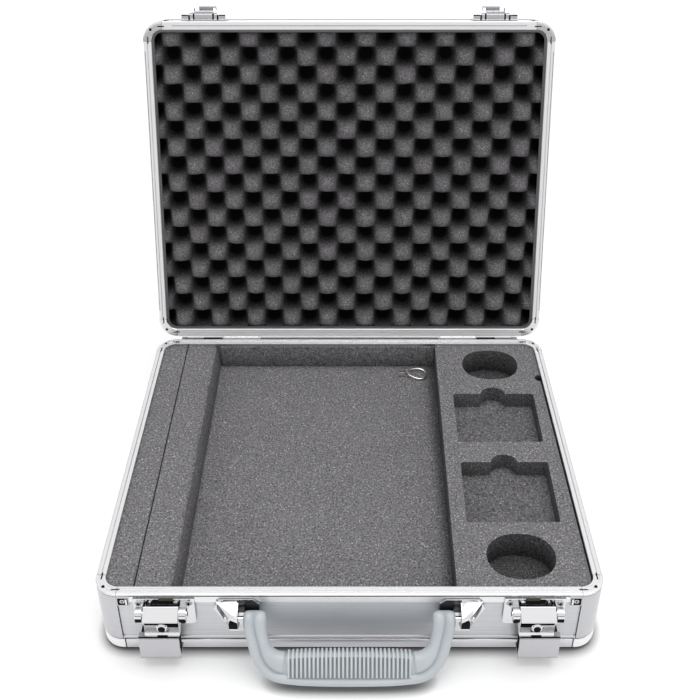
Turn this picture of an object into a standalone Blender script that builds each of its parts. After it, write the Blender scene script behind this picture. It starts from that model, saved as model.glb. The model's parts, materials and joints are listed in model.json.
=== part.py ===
# Aluminium carrying case, open: framed base and lid, cut foam, two key latches and a drop handle.
# Metres, +Z up, +X to the right of someone facing the front, +Y to the hinges.
# The origin is the middle of the base's underside.

import bpy
import bmesh
import math
from mathutils import Matrix, Vector

# Whole case; fittings along X are placed for the drawn width and spread with the case
CASE_WIDTH = 0.380
DRAWN_WIDTH = 0.380
CASE_DEPTH = 0.309
BASE_HEIGHT = 0.064
LID_HEIGHT = 0.038
CORNER_RADIUS = 0.018
OPEN_ANGLE = math.radians(105.2)
FIT_GAP = 0.0003
RIM_GAP = 0.0006
CUT_OVERRUN = 0.004

# Frame sections; inset counts inwards from the outside, drop counts from the rim's face
RIM_WIDTH = 0.008
RIM_THICKNESS = 0.0027
RIM_LIP_DROP = 0.0085
RIM_LIP_WALL = 0.0009
RIM_ROUND = 0.0013
GROOVE_INSET = 0.0028
GROOVE_WIDTH = 0.0009
GROOVE_DEPTH = 0.0007
PANEL_INSET = 0.0012
WALL_INSIDE = 0.0055
SKIRT_HEIGHT = 0.0168
SKIRT_INSET = 0.0004
SEAM_HEIGHT = 0.0135
SEAM_WIDTH = 0.0008
SEAM_DEPTH = 0.0006
EDGE_RADIUS = 0.005
FOOT_WIDTH = 0.012
FLOOR_THICKNESS = 0.0045
ARC_STEPS = 5
CORNER_STEPS = 8

# Hinges
HINGE_OUT = 0.0015
HINGE_X = 0.1085
HINGE_WIDTH = 0.035
KNUCKLE_RADIUS = 0.0020
KNUCKLE_NOTCH = 0.0005
HINGE_PIN_RADIUS = 0.0009
HINGE_PIN_PLAY = 0.0001
HINGE_PIN_HEAD = 0.0008
LEAF_THICKNESS = 0.0012
LEAF_HEIGHT = 0.020

# Foam
FOAM_DROP = 0.003
FLOOR_FOAM_TOP = 0.036
LEFT_STRIP_WIDTH = 0.0231
SECOND_STRIP_WIDTH = 0.0272
STRIP_SLOPE = 0.0042
STRIP_ROUND = 0.0015
SLIT_WIDTH = 0.0008
BACK_LINER = 0.003
BLOCK_WIDTH = 0.099
BLOCK_SHEAR = 0.0052
BLOCK_WALL_GAP = 0.0012
CUP_WIDTH = 0.0534
CUP_DEPTH = 0.0442
CUP_POWER_BACK = 2.3
CUP_POWER_FRONT = 2.2
CUP_INSET_BACK = 0.0370
CUP_INSET_FRONT = 0.0384
CUP_FROM_EDGE = 0.0516
POCKET_WIDTH = 0.0748
POCKET_DEPTH_BACK = 0.0642
POCKET_DEPTH_FRONT = 0.0670
POCKET_FROM_EDGE = 0.0502
POCKET_SINK = 0.0157
POCKET_INSET_BACK = 0.0803
POCKET_INSET_FRONT = 0.0725
POCKET_CORNER = 0.002
SCOOP_WIDTH = 0.0226
SCOOP_DEPTH = 0.0092
NOTCH_INSET_BACK = 0.0515
NOTCH_REACH = 0.0065
NOTCH_WIDTH = 0.0088
FOAM_PEAK_DROP = 0.0032
FOAM_VALLEY_DROP = 0.021
FOAM_PITCH_X = 0.018
FOAM_PITCH_Y = 0.0171
FOAM_PEAK_X = -0.1676
FOAM_PEAK_Y = 0.020

# Latches: places along Y count outwards from the base's front, drops down from its rim
LATCH_X = 0.1370
LATCH_PLATE_WIDTH = 0.0455
LATCH_PLATE_BOTTOM_DROP = 0.0305
LATCH_PLATE_TOP_DROP = 0.0030
LATCH_PLATE_THICKNESS = 0.0012
LATCH_PLATE_CHAMFER = 0.003
LATCH_SLOT_WIDTH = 0.0145
LATCH_SLOT_BOTTOM_DROP = 0.0095
LATCH_SLOT_HEIGHT = 0.0048
LEVER_SHIFT = 0.0015
LEVER_WIDTH = 0.0262
LEVER_LOW_WIDTH = 0.030
LEVER_LOW_SHIFT = 0.0025
LEVER_PIVOT_OUT = 0.0076
LEVER_PIVOT_DROP = 0.0116
LEVER_BARREL_RADIUS = 0.0057
LEVER_LIP_OUT = 0.0143
LEVER_LIP_DROP = 0.0136
LEVER_LIP_THICKNESS = 0.0012
LEVER_FACE_OUT = 0.0106
LEVER_LEDGE_DROP = 0.0300
LEVER_FRONT_OUT = 0.0150
LEVER_BOTTOM_DROP = 0.0524
LEVER_BACK_OUT = 0.0022
LEVER_WALL = 0.0014
POST_THICKNESS = 0.0048
POST_RADIUS = 0.0046
POST_CLEARANCE = 0.0004
LATCH_PIN_RADIUS = 0.0016
LATCH_PIN_PLAY = 0.0003
LATCH_HEAD_RADIUS = 0.0031
LATCH_HEAD_THICKNESS = 0.0010
LOCK_DROP = 0.0233
LOCK_RADIUS = 0.0040
LOCK_FLANGE_RADIUS = 0.0050
LOCK_FLANGE_THICKNESS = 0.0008
LOCK_LENGTH = 0.0045
LOCK_CAM_LENGTH = 0.0085
LOCK_CAM_WIDTH = 0.0040
LOCK_CAM_THICKNESS = 0.0012
KEYWAY_WIDTH = 0.0011
KEYWAY_HEIGHT = 0.0048
KEYWAY_DEPTH = 0.0030

# Lid catches and their swinging hooks; rise counts outwards from the lid's front
CATCH_X = 0.134
CATCH_WIDTH = 0.041
CATCH_LENGTH = 0.018
CATCH_START = 0.0035
CATCH_THICKNESS = 0.0012
CATCH_FLANGE_RISE = 0.0056
CATCH_BOX_WIDTH = 0.0255
CATCH_BOX_RISE = 0.0072
CATCH_BOX_WALL = 0.0014
CHEEK_WIDTH = 0.0208
CHEEK_WALL = 0.0014
CHEEK_LENGTH = 0.012
CHEEK_RISE = 0.0112
HOOK_PIVOT_RISE = 0.008
HOOK_PIVOT_DROP = 0.009
HOOK_PIN_RADIUS = 0.0011
HOOK_PIN_PLAY = 0.0003
HOOK_WIDTH = 0.0164
HOOK_THICKNESS = 0.0014
HOOK_TIP_CLEARANCE = 0.0010

# Handle: reach counts along the handle from its pivot, drops down from the base's rim
HANDLE_PIVOT_OUT = 0.0082
HANDLE_PIVOT_DROP = 0.0165
HANDLE_LEAN = math.radians(27.8)
HANDLE_OUTER = ((0.0783, 0.0000), (0.0783, 0.0020), (0.0773, 0.0090), (0.0757, 0.0160), (0.0735, 0.0250),
                (0.0702, 0.0332), (0.0645, 0.0409), (0.0565, 0.0463), (0.0465, 0.0486), (0.0300, 0.0500))
HANDLE_INNER = ((0.0300, 0.0239), (0.0400, 0.0245), (0.0470, 0.0252), (0.0510, 0.0249), (0.0545, 0.0231),
                (0.0575, 0.0200), (0.0593, 0.0160), (0.0606, 0.0098), (0.0611, 0.0040), (0.0613, 0.0000))
HANDLE_REACH = 0.0505
HANDLE_THICKNESS = 0.012
HANDLE_EDGE_ROUND = 0.0030
HANDLE_END_ROUND = 0.0045
GRIP_HALF_WIDTH = 0.0460
GRIP_START = 0.0266
GRIP_END = 0.0416
GRIP_SINK = 0.0015
GRIP_PROUD = 0.0004
GRIP_RIBS = 29
GRIP_RIB_HEIGHT = 0.0008
BRACKET_INNER_X = 0.0665
BRACKET_OUTER_X = 0.1005
BRACKET_BOTTOM_DROP = 0.0385
BRACKET_TOP_DROP = 0.0040
BRACKET_THICKNESS = 0.0014
BRACKET_CHAMFER = 0.0045
BOSS_INNER_X = 0.0820
BOSS_OUTER_X = 0.0985
BOSS_OUT = 0.0130
BOSS_TOP_DROP = 0.0065
BOSS_BOTTOM_DROP = 0.0310
BOSS_FACE_TOP_DROP = 0.0110
BOSS_FACE_BOTTOM_DROP = 0.0228
BOSS_FACE_WIDTH = 0.0066
HANDLE_PIN_RADIUS = 0.0021
HANDLE_PIN_PLAY = 0.0003
HANDLE_PIN_SEAT = 0.0100

# Keys on their ring
RING_FROM_BLOCK = 0.0129
RING_FROM_BACK = 0.0230
RING_RADIUS = 0.0098
RING_SQUASH = 0.78
RING_TAPER = 0.25
RING_WIRE = 0.0008
KEY_LENGTH = 0.0165
KEY_BOW = 0.0068
KEY_BLADE = 0.0038
KEY_THICKNESS = 0.0011
KEY_HOLE = 0.0021
KEY_SPACING = 0.0034

FRONT = -CASE_DEPTH / 2
BACK = CASE_DEPTH / 2
SIDE = CASE_WIDTH / 2
SPREAD = CASE_WIDTH / DRAWN_WIDTH
CAVITY = WALL_INSIDE + FIT_GAP
CAVITY_ROUND = CORNER_RADIUS - CAVITY
HINGE_POINT = Vector((0, BACK + HINGE_OUT, BASE_HEIGHT + RIM_GAP / 2))
# Heights on the front follow the base's rim
LATCH_PLATE_BOTTOM = BASE_HEIGHT - LATCH_PLATE_BOTTOM_DROP
LATCH_PLATE_TOP = BASE_HEIGHT - LATCH_PLATE_TOP_DROP
LATCH_SLOT_BOTTOM = BASE_HEIGHT - LATCH_SLOT_BOTTOM_DROP
LEVER_PIVOT_HEIGHT = BASE_HEIGHT - LEVER_PIVOT_DROP
LEVER_LIP_HEIGHT = BASE_HEIGHT - LEVER_LIP_DROP
LEVER_LEDGE_HEIGHT = BASE_HEIGHT - LEVER_LEDGE_DROP
LEVER_BOTTOM = BASE_HEIGHT - LEVER_BOTTOM_DROP
LOCK_HEIGHT = BASE_HEIGHT - LOCK_DROP
HANDLE_PIVOT_HEIGHT = BASE_HEIGHT - HANDLE_PIVOT_DROP
BRACKET_BOTTOM = BASE_HEIGHT - BRACKET_BOTTOM_DROP
BRACKET_TOP = BASE_HEIGHT - BRACKET_TOP_DROP
BOSS_TOP = BASE_HEIGHT - BOSS_TOP_DROP
BOSS_BOTTOM = BASE_HEIGHT - BOSS_BOTTOM_DROP
BOSS_FACE_TOP = BASE_HEIGHT - BOSS_FACE_TOP_DROP
BOSS_FACE_BOTTOM = BASE_HEIGHT - BOSS_FACE_BOTTOM_DROP


def clear_scene():
    for old in list(bpy.data.objects):
        bpy.data.objects.remove(old, do_unlink=True)


def make_material(name, color, roughness, metallic):
    made = bpy.data.materials.new(name)
    made.use_nodes = True
    shader = made.node_tree.nodes["Principled BSDF"]
    shader.inputs["Base Color"].default_value = (*color, 1)
    shader.inputs["Roughness"].default_value = roughness
    shader.inputs["Metallic"].default_value = metallic
    return made


def add_object(name, shape, material, parent=None):
    """Turns a bmesh into an object; a parent is an empty whose frame the shape is in."""
    bmesh.ops.recalc_face_normals(shape, faces=shape.faces)
    mesh = bpy.data.meshes.new(name)
    shape.to_mesh(mesh)
    shape.free()
    mesh.shade_smooth()
    mesh.set_sharp_from_angle(angle=math.radians(35))
    made = bpy.data.objects.new(name, mesh)
    bpy.context.scene.collection.objects.link(made)
    if material:
        mesh.materials.append(material)
    if parent:
        made.parent = parent
    return made


def add_axis(name, place, turn=0.0, parent=None):
    """An empty on a joint's axis, which runs along X."""
    axis = bpy.data.objects.new(name, None)
    bpy.context.scene.collection.objects.link(axis)
    axis.location = place
    axis.rotation_euler = (turn, 0, 0)
    if parent:
        axis.parent = parent
    return axis


def combine(target, tool, operation):
    tool.hide_render = True
    tool.display_type = "WIRE"
    made = target.modifiers.new(tool.name, "BOOLEAN")
    made.operation = operation
    made.object = tool
    made.solver = "EXACT"
    return made


def cut(target, shape, parent=None):
    tool = add_object(target.name + "_cutter", shape, None, parent)
    combine(target, tool, "DIFFERENCE")


def fuse(target, shape, parent=None):
    tool = add_object(target.name + "_piece", shape, None, parent)
    combine(target, tool, "UNION")


def arc(centre, radius, start, end, steps):
    """Points on an arc, in degrees, ends included."""
    points = []
    for step in range(steps + 1):
        angle = math.radians(start + (end - start) * step / steps)
        points.append((centre[0] + radius * math.cos(angle), centre[1] + radius * math.sin(angle)))
    return points


def prism(outline, place, travel):
    """A solid from an outline of pairs: place turns a pair into a point, travel is the extrusion."""
    shape = bmesh.new()
    corners = [shape.verts.new(place(*pair)) for pair in outline]
    face = shape.faces.new(corners)
    made = bmesh.ops.extrude_face_region(shape, geom=[face])
    moved = [item for item in made["geom"] if isinstance(item, bmesh.types.BMVert)]
    bmesh.ops.translate(shape, verts=moved, vec=travel)
    return shape


def slab(outline, bottom, top):
    return prism(outline, lambda x, y: (x, y, bottom), Vector((0, 0, top - bottom)))


def across(outline, left, right):
    """An outline in Y and Z, run from left to right."""
    return prism(outline, lambda y, z: (left, y, z), Vector((right - left, 0, 0)))


def rod(radius, left, right, y, z, sides=24):
    return across(arc((y, z), radius, 0, 360 - 360 / sides, sides - 1), left, right)


def box(low, high):
    outline = [(low[0], low[1]), (high[0], low[1]), (high[0], high[1]), (low[0], high[1])]
    return slab(outline, low[2], high[2])


def rounded(left, right, near, far, radii, steps=ARC_STEPS):
    """A rectangle with a radius at near left, near right, far right and far left."""
    corners = ((left, near, 180), (right, near, 270), (right, far, 0), (left, far, 90))
    points = []
    for (x, y, start), radius in zip(corners, radii):
        if radius == 0:
            points.append((x, y))
            continue
        centre = (x + math.copysign(radius, -x + (left + right) / 2),
                  y + math.copysign(radius, -y + (near + far) / 2))
        points += arc(centre, radius, start, start + 90, steps)
    return points


# Frame sections as (inset, drop) pairs

def rim_section():
    edge = arc((RIM_ROUND, RIM_ROUND), RIM_ROUND, 180, 270, ARC_STEPS - 1)
    groove_end = GROOVE_INSET + GROOVE_WIDTH
    return [
        (RIM_LIP_WALL, RIM_LIP_DROP), (0, RIM_LIP_DROP), *edge,
        (GROOVE_INSET, 0), (GROOVE_INSET, GROOVE_DEPTH), (groove_end, GROOVE_DEPTH), (groove_end, 0),
        (RIM_WIDTH, 0), (RIM_WIDTH, RIM_THICKNESS), (RIM_LIP_WALL, RIM_THICKNESS),
    ]


def bottom_edge(height):
    return arc((EDGE_RADIUS, height - EDGE_RADIUS), EDGE_RADIUS, 180, 90, ARC_STEPS)


def wall_section(height):
    top = RIM_THICKNESS + FIT_GAP
    skirt = height - SKIRT_HEIGHT
    seam = height - SEAM_HEIGHT
    return [
        (WALL_INSIDE, top), (PANEL_INSET, top), (PANEL_INSET, skirt),
        (SKIRT_INSET, skirt + SEAM_DEPTH), (SKIRT_INSET, seam - SEAM_WIDTH / 2),
        (SKIRT_INSET + SEAM_DEPTH, seam), (0, seam + SEAM_WIDTH / 2),
        *bottom_edge(height),
        (FOOT_WIDTH, height), (FOOT_WIDTH, height - FLOOR_THICKNESS), (WALL_INSIDE, height - FLOOR_THICKNESS),
    ]


def corner_section(height):
    edge = arc((RIM_ROUND, RIM_ROUND), RIM_ROUND, 270, 180, ARC_STEPS - 1)
    return [
        (RIM_WIDTH, RIM_THICKNESS), (RIM_WIDTH, 0), *edge, *bottom_edge(height),
        (FOOT_WIDTH, height), (FOOT_WIDTH, height - FLOOR_THICKNESS), (WALL_INSIDE, height - FLOOR_THICKNESS),
        (WALL_INSIDE, RIM_THICKNESS),
    ]


SHELL_SIDES = ("front", "back", "left", "right")


def side_place(side, level):
    """A function from (inset, drop) to a point at the start of a side; level turns drop into Z."""
    along = CORNER_RADIUS + FIT_GAP
    if side == "front":
        return lambda inset, drop: (along - SIDE, FRONT + inset, level(drop))
    if side == "back":
        return lambda inset, drop: (along - SIDE, BACK - inset, level(drop))
    if side == "left":
        return lambda inset, drop: (inset - SIDE, FRONT + along, level(drop))
    return lambda inset, drop: (SIDE - inset, FRONT + along, level(drop))


def side_travel(side):
    ends = 2 * (CORNER_RADIUS + FIT_GAP)
    if side in ("front", "back"):
        return Vector((CASE_WIDTH - ends, 0, 0))
    return Vector((0, CASE_DEPTH - ends, 0))


def corner_shape(section, level, right, back):
    """The section turned a quarter round its corner's upright axis."""
    shape = bmesh.new()
    ring = [shape.verts.new((inset - CORNER_RADIUS, 0, level(drop))) for inset, drop in section]
    face = shape.faces.new(ring)
    bmesh.ops.spin(shape, geom=[face], cent=(0, 0, 0), axis=(0, 0, 1), angle=math.radians(90),
                   steps=CORNER_STEPS, use_merge=False)
    mirror = Matrix.Diagonal((-1 if right else 1, -1 if back else 1, 1, 1))
    centre = Vector(((SIDE - CORNER_RADIUS) * (1 if right else -1),
                     (BACK - CORNER_RADIUS) * (1 if back else -1), 0))
    bmesh.ops.transform(shape, matrix=Matrix.Translation(centre) @ mirror, verts=shape.verts)
    return shape


def close_spin(shape):
    """The starting face of a spin closes its first end."""
    bmesh.ops.remove_doubles(shape, verts=shape.verts, dist=GROOVE_DEPTH / 100)
    return shape


def moved_home(shape, home):
    bmesh.ops.translate(shape, verts=shape.verts, vec=-home)
    return shape


def hinge_notch(side, level, home):
    middle = HINGE_X * SPREAD * side
    half = HINGE_WIDTH / 2 + KNUCKLE_NOTCH
    reach = KNUCKLE_RADIUS + KNUCKLE_NOTCH
    near = HINGE_POINT.y - reach
    deep = level(reach - RIM_GAP / 2)
    out = level(-CUT_OVERRUN)
    low, high = min(deep, out), max(deep, out)
    return moved_home(box((middle - half, near, low), (middle + half, BACK + CUT_OVERRUN, high)), home)


def build_shell(prefix, height, level, home, parent, metals):
    """Four walls, four rim rails, four corner posts and the flat panel of the base or the lid."""
    for side in SHELL_SIDES:
        place = side_place(side, level)
        wall = moved_home(prism(wall_section(height), place, side_travel(side)), home)
        add_object(f"{prefix}_wall_{side}", wall, metals["panel"], parent)
        rail = moved_home(prism(rim_section(), place, side_travel(side)), home)
        made = add_object(f"{prefix}_rim_{side}", rail, metals["frame"], parent)
        if side == "back":
            for hinge in (-1, 1):
                cut(made, hinge_notch(hinge, level, home), parent)
    for back in (False, True):
        for right in (False, True):
            words = ("back" if back else "front") + ("_right" if right else "_left")
            corner = close_spin(corner_shape(corner_section(height), level, right, back))
            add_object(f"{prefix}_corner_{words}", moved_home(corner, home), metals["corner"], parent)
    inset = FOOT_WIDTH + FIT_GAP
    radius = CORNER_RADIUS - inset
    outline = rounded(inset - SIDE, SIDE - inset, FRONT + inset, BACK - inset, (radius,) * 4)
    ends = sorted((level(height), level(height - FLOOR_THICKNESS)))
    add_object(f"{prefix}_panel", moved_home(slab(outline, *ends), home), metals["panel"], parent)


# Hinges

def hinge_leaf(name, side, up, home, parent, metal):
    """A leaf with its knuckles: the base leaf has the outer two, the lid leaf the middle one."""
    middle = HINGE_X * SPREAD * side
    half = HINGE_WIDTH / 2
    third = HINGE_WIDTH / 6
    y, z = HINGE_POINT.y, HINGE_POINT.z
    sign = 1 if up else -1
    inner = BACK + FIT_GAP
    clear = KNUCKLE_RADIUS + KNUCKLE_NOTCH / 2
    ends = sorted((z + sign * clear, z + sign * LEAF_HEIGHT))
    leaf = box((middle - half, inner, ends[0]), (middle + half, inner + LEAF_THICKNESS, ends[1]))
    made = add_object(name, moved_home(leaf, home), metal, parent)
    spans = ((-third, third),) if up else ((-half, -third), (third, half))
    for start, end in spans:
        left = middle + start + (FIT_GAP / 2 if start > -half else 0)
        right = middle + end - (FIT_GAP / 2 if end < half else 0)
        fuse(made, moved_home(rod(KNUCKLE_RADIUS, left, right, y, z), home), parent)
        ends = sorted((z + sign * KNUCKLE_RADIUS / 2, z + sign * LEAF_HEIGHT / 2))
        neck = box((left, inner + FIT_GAP / 2, ends[0]), (right, inner + LEAF_THICKNESS - FIT_GAP / 2, ends[1]))
        fuse(made, moved_home(neck, home), parent)
    bore = rod(HINGE_PIN_RADIUS + HINGE_PIN_PLAY, middle - half - CUT_OVERRUN, middle + half + CUT_OVERRUN, y, z)
    cut(made, moved_home(bore, home), parent)


def turned(profile, sides=24):
    """A shape turned round X from (place along X, radius) pairs that start and end on the axis."""
    shape = bmesh.new()
    line = [shape.verts.new((x, radius, 0)) for x, radius in profile]
    edges = [shape.edges.new(pair) for pair in zip(line, line[1:])]
    bmesh.ops.spin(shape, geom=line + edges, cent=(0, 0, 0), axis=(1, 0, 0), angle=2 * math.pi,
                   steps=sides, use_merge=True)
    bmesh.ops.remove_doubles(shape, verts=shape.verts, dist=GROOVE_DEPTH / 100)
    return shape


def headed_pin(left, right, radius, head_radius, head):
    """A pin with a flat head at each end."""
    profile = [
        (left - head, 0), (left - head, head_radius), (left, head_radius), (left, radius),
        (right, radius), (right, head_radius), (right + head, head_radius), (right + head, 0),
    ]
    return turned(profile)


def placed(shape, place):
    bmesh.ops.translate(shape, verts=shape.verts, vec=place)
    return shape


def build_hinges(lid_axis, metal):
    for side, word in ((-1, "left"), (1, "right")):
        hinge_leaf(f"hinge_base_leaf_{word}", side, False, Vector(), None, metal)
        hinge_leaf(f"hinge_lid_leaf_{word}", side, True, HINGE_POINT, lid_axis, metal)
        half = HINGE_WIDTH / 2 + FIT_GAP
        pin = headed_pin(-half, half, HINGE_PIN_RADIUS, KNUCKLE_RADIUS * 0.8, HINGE_PIN_HEAD)
        place = HINGE_POINT + Vector((HINGE_X * SPREAD * side, 0, 0))
        add_object(f"hinge_pin_{word}", placed(pin, place), metal)


# Foam

def foam_levels():
    return FLOOR_FOAM_TOP + FIT_GAP, BASE_HEIGHT - FOAM_DROP


def superellipse(centre, width, depth, power, steps=28):
    points = []
    for step in range(steps):
        angle = 2 * math.pi * step / steps
        c, s = math.cos(angle), math.sin(angle)
        x = math.copysign(abs(c) ** (2 / power), c) * width / 2
        y = math.copysign(abs(s) ** (2 / power), s) * depth / 2
        points.append((centre[0] + x, centre[1] + y))
    return points


def pocket_outline(centre_x, near, depth):
    """A card pocket with a rounded finger scoop in its far side."""
    far = near + depth
    outline = rounded(centre_x - POCKET_WIDTH / 2, centre_x + POCKET_WIDTH / 2, near, far,
                      (POCKET_CORNER,) * 4, 2)
    scoop = []
    for x, y in arc((0, 0), 1, 0, 180, 10):
        scoop.append((centre_x + x * SCOOP_WIDTH / 2, far + y * SCOOP_DEPTH))
    start = next(i for i, (x, y) in enumerate(outline) if y > near + depth * 0.9 and x < centre_x)
    return outline[:start] + scoop + outline[start:]


def sheared(outline, fixed_from=SIDE):
    """The outline leant over with the block's left edge; points past fixed_from stay on the wall's side."""
    near = FRONT + CAVITY
    share = BLOCK_SHEAR / (CASE_DEPTH - 2 * CAVITY)
    return [(x if x > fixed_from else x + (y - near) * share, y) for x, y in outline]


def build_base_foam(foam):
    low, top = foam_levels()
    near, far = FRONT + CAVITY, BACK - CAVITY
    left, right = CAVITY - SIDE, SIDE - CAVITY
    whole = rounded(left, right, near, far, (CAVITY_ROUND,) * 4)
    add_object("foam_floor", slab(whole, FLOOR_THICKNESS + FIT_GAP, FLOOR_FOAM_TOP), foam)

    strip_end = left + LEFT_STRIP_WIDTH
    strip = rounded(left, strip_end, near, far, (CAVITY_ROUND, 0, 0, CAVITY_ROUND))
    add_object("foam_strip_left", slab(strip, low, top), foam)

    start = strip_end + SLIT_WIDTH
    end = start + SECOND_STRIP_WIDTH
    section = [
        (start, low), (end + STRIP_SLOPE, low), (end + STRIP_ROUND / 2, top - STRIP_ROUND),
        (end - STRIP_ROUND, top), (start, top),
    ]
    second = prism(section, lambda x, z: (x, near, z), Vector((0, far - near, 0)))
    add_object("foam_strip_second", second, foam)

    edge = right - BLOCK_SHEAR - BLOCK_WIDTH
    liner_start = end + STRIP_SLOPE + FIT_GAP
    liner_end = edge + BLOCK_SHEAR - FIT_GAP - BACK_LINER * BLOCK_SHEAR / (far - near)
    liner = box((liner_start, far - BACK_LINER, low), (liner_end, far, top - FIT_GAP))
    add_object("foam_liner_back", liner, foam)

    block_right = right - BLOCK_WALL_GAP
    block = rounded(edge, block_right, near, far, (0, CAVITY_ROUND, CAVITY_ROUND, 0))
    block = sheared(block, edge + BLOCK_WIDTH / 2)
    made = add_object("foam_block_right", slab(block, low, top), foam)
    cup_x = edge + CUP_FROM_EDGE
    for centre_y, power in ((near + CUP_INSET_FRONT - CAVITY, CUP_POWER_FRONT),
                            (far - CUP_INSET_BACK + CAVITY, CUP_POWER_BACK)):
        cup = sheared(superellipse((cup_x, centre_y), CUP_WIDTH, CUP_DEPTH, power))
        cut(made, slab(cup, low - CUT_OVERRUN, top + CUT_OVERRUN))
    for pocket_near, depth in ((FRONT + POCKET_INSET_FRONT, POCKET_DEPTH_FRONT),
                               (BACK - POCKET_INSET_BACK - POCKET_DEPTH_BACK, POCKET_DEPTH_BACK)):
        pocket = sheared(pocket_outline(edge + POCKET_FROM_EDGE, pocket_near, depth))
        cut(made, slab(pocket, top - POCKET_SINK, top + CUT_OVERRUN))
    notch = superellipse((block_right, far - NOTCH_INSET_BACK), NOTCH_REACH * 2, NOTCH_WIDTH, CUP_POWER_FRONT, 16)
    cut(made, slab(notch, top - POCKET_SINK, top + CUT_OVERRUN))


def lid_level(drop):
    return BASE_HEIGHT + RIM_GAP + drop


def build_lid_foam(foam, parent):
    """Egg-crate foam: peaks and valleys on a chequered grid, over a flat back."""
    home = HINGE_POINT
    left, right = CAVITY - SIDE, SIDE - CAVITY
    near, far = FRONT + CAVITY, BACK - CAVITY
    peak_y = HINGE_POINT.y - FOAM_PEAK_Y
    middle = (FOAM_PEAK_DROP + FOAM_VALLEY_DROP) / 2
    swing = (FOAM_VALLEY_DROP - FOAM_PEAK_DROP) / 2

    def lines(low, high, origin, pitch):
        first = math.ceil((low - origin) / pitch)
        last = math.floor((high - origin) / pitch)
        inner = [origin + pitch * step for step in range(first, last + 1)]
        return [low] + [v for v in inner if low + pitch / 5 < v < high - pitch / 5] + [high]

    xs = lines(left, right, FOAM_PEAK_X, FOAM_PITCH_X)
    ys = lines(near, far, peak_y, FOAM_PITCH_Y)
    shape = bmesh.new()
    back_drop = LID_HEIGHT - FLOOR_THICKNESS - FIT_GAP

    def surface(x, y):
        wave = math.cos(math.pi * (x - FOAM_PEAK_X) / FOAM_PITCH_X)
        wave *= math.cos(math.pi * (y - peak_y) / FOAM_PITCH_Y)
        return lid_level(middle - swing * wave)

    top = [[shape.verts.new((x, y, surface(x, y))) for x in xs] for y in ys]
    for row, above in zip(top, top[1:]):
        for a, b, c, d in zip(row, row[1:], above[1:], above):
            shape.faces.new((a, b, c, d))
    bmesh.ops.poke(shape, faces=shape.faces[:])
    edges = [edge for edge in shape.edges if edge.is_boundary]
    made = bmesh.ops.extrude_edge_only(shape, edges=edges)
    skirt = [item for item in made["geom"] if isinstance(item, bmesh.types.BMVert)]
    for vert in skirt:
        vert.co.z = lid_level(back_drop)
    rim = [item for item in made["geom"] if isinstance(item, bmesh.types.BMEdge) and item.is_boundary]
    bmesh.ops.contextual_create(shape, geom=rim)
    foam_object = add_object("foam_lid", moved_home(shape, home), foam, parent)
    outline = rounded(left, right, near, far, (CAVITY_ROUND,) * 4)
    limit = slab(outline, lid_level(0), lid_level(LID_HEIGHT))
    tool = add_object("foam_lid_limit", moved_home(limit, home), None, parent)
    combine(foam_object, tool, "INTERSECT")


# Latches on the base

def lever_outline(pivot):
    """Side view of the lever as (y, z): the barrel, its sloped flap, the lock's face and the pull."""
    barrel = arc(pivot, LEVER_BARREL_RADIUS, -40, 112, 10)
    lip = FRONT - LEVER_LIP_OUT
    face = FRONT - LEVER_FACE_OUT
    pull = FRONT - LEVER_FRONT_OUT
    back = FRONT - LEVER_BACK_OUT
    return barrel + [
        (lip, LEVER_LIP_HEIGHT), (lip, LEVER_LIP_HEIGHT - LEVER_LIP_THICKNESS),
        (face, LEVER_LIP_HEIGHT - LEVER_LIP_THICKNESS * 2), (face, LEVER_LEDGE_HEIGHT + LEVER_LIP_THICKNESS / 2),
        (pull, LEVER_LEDGE_HEIGHT), (pull, LEVER_BOTTOM + LEVER_WALL), (pull + LEVER_WALL, LEVER_BOTTOM),
        (back, LEVER_BOTTOM), (back, pivot[1] - LEVER_BARREL_RADIUS * 1.2),
    ]


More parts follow.
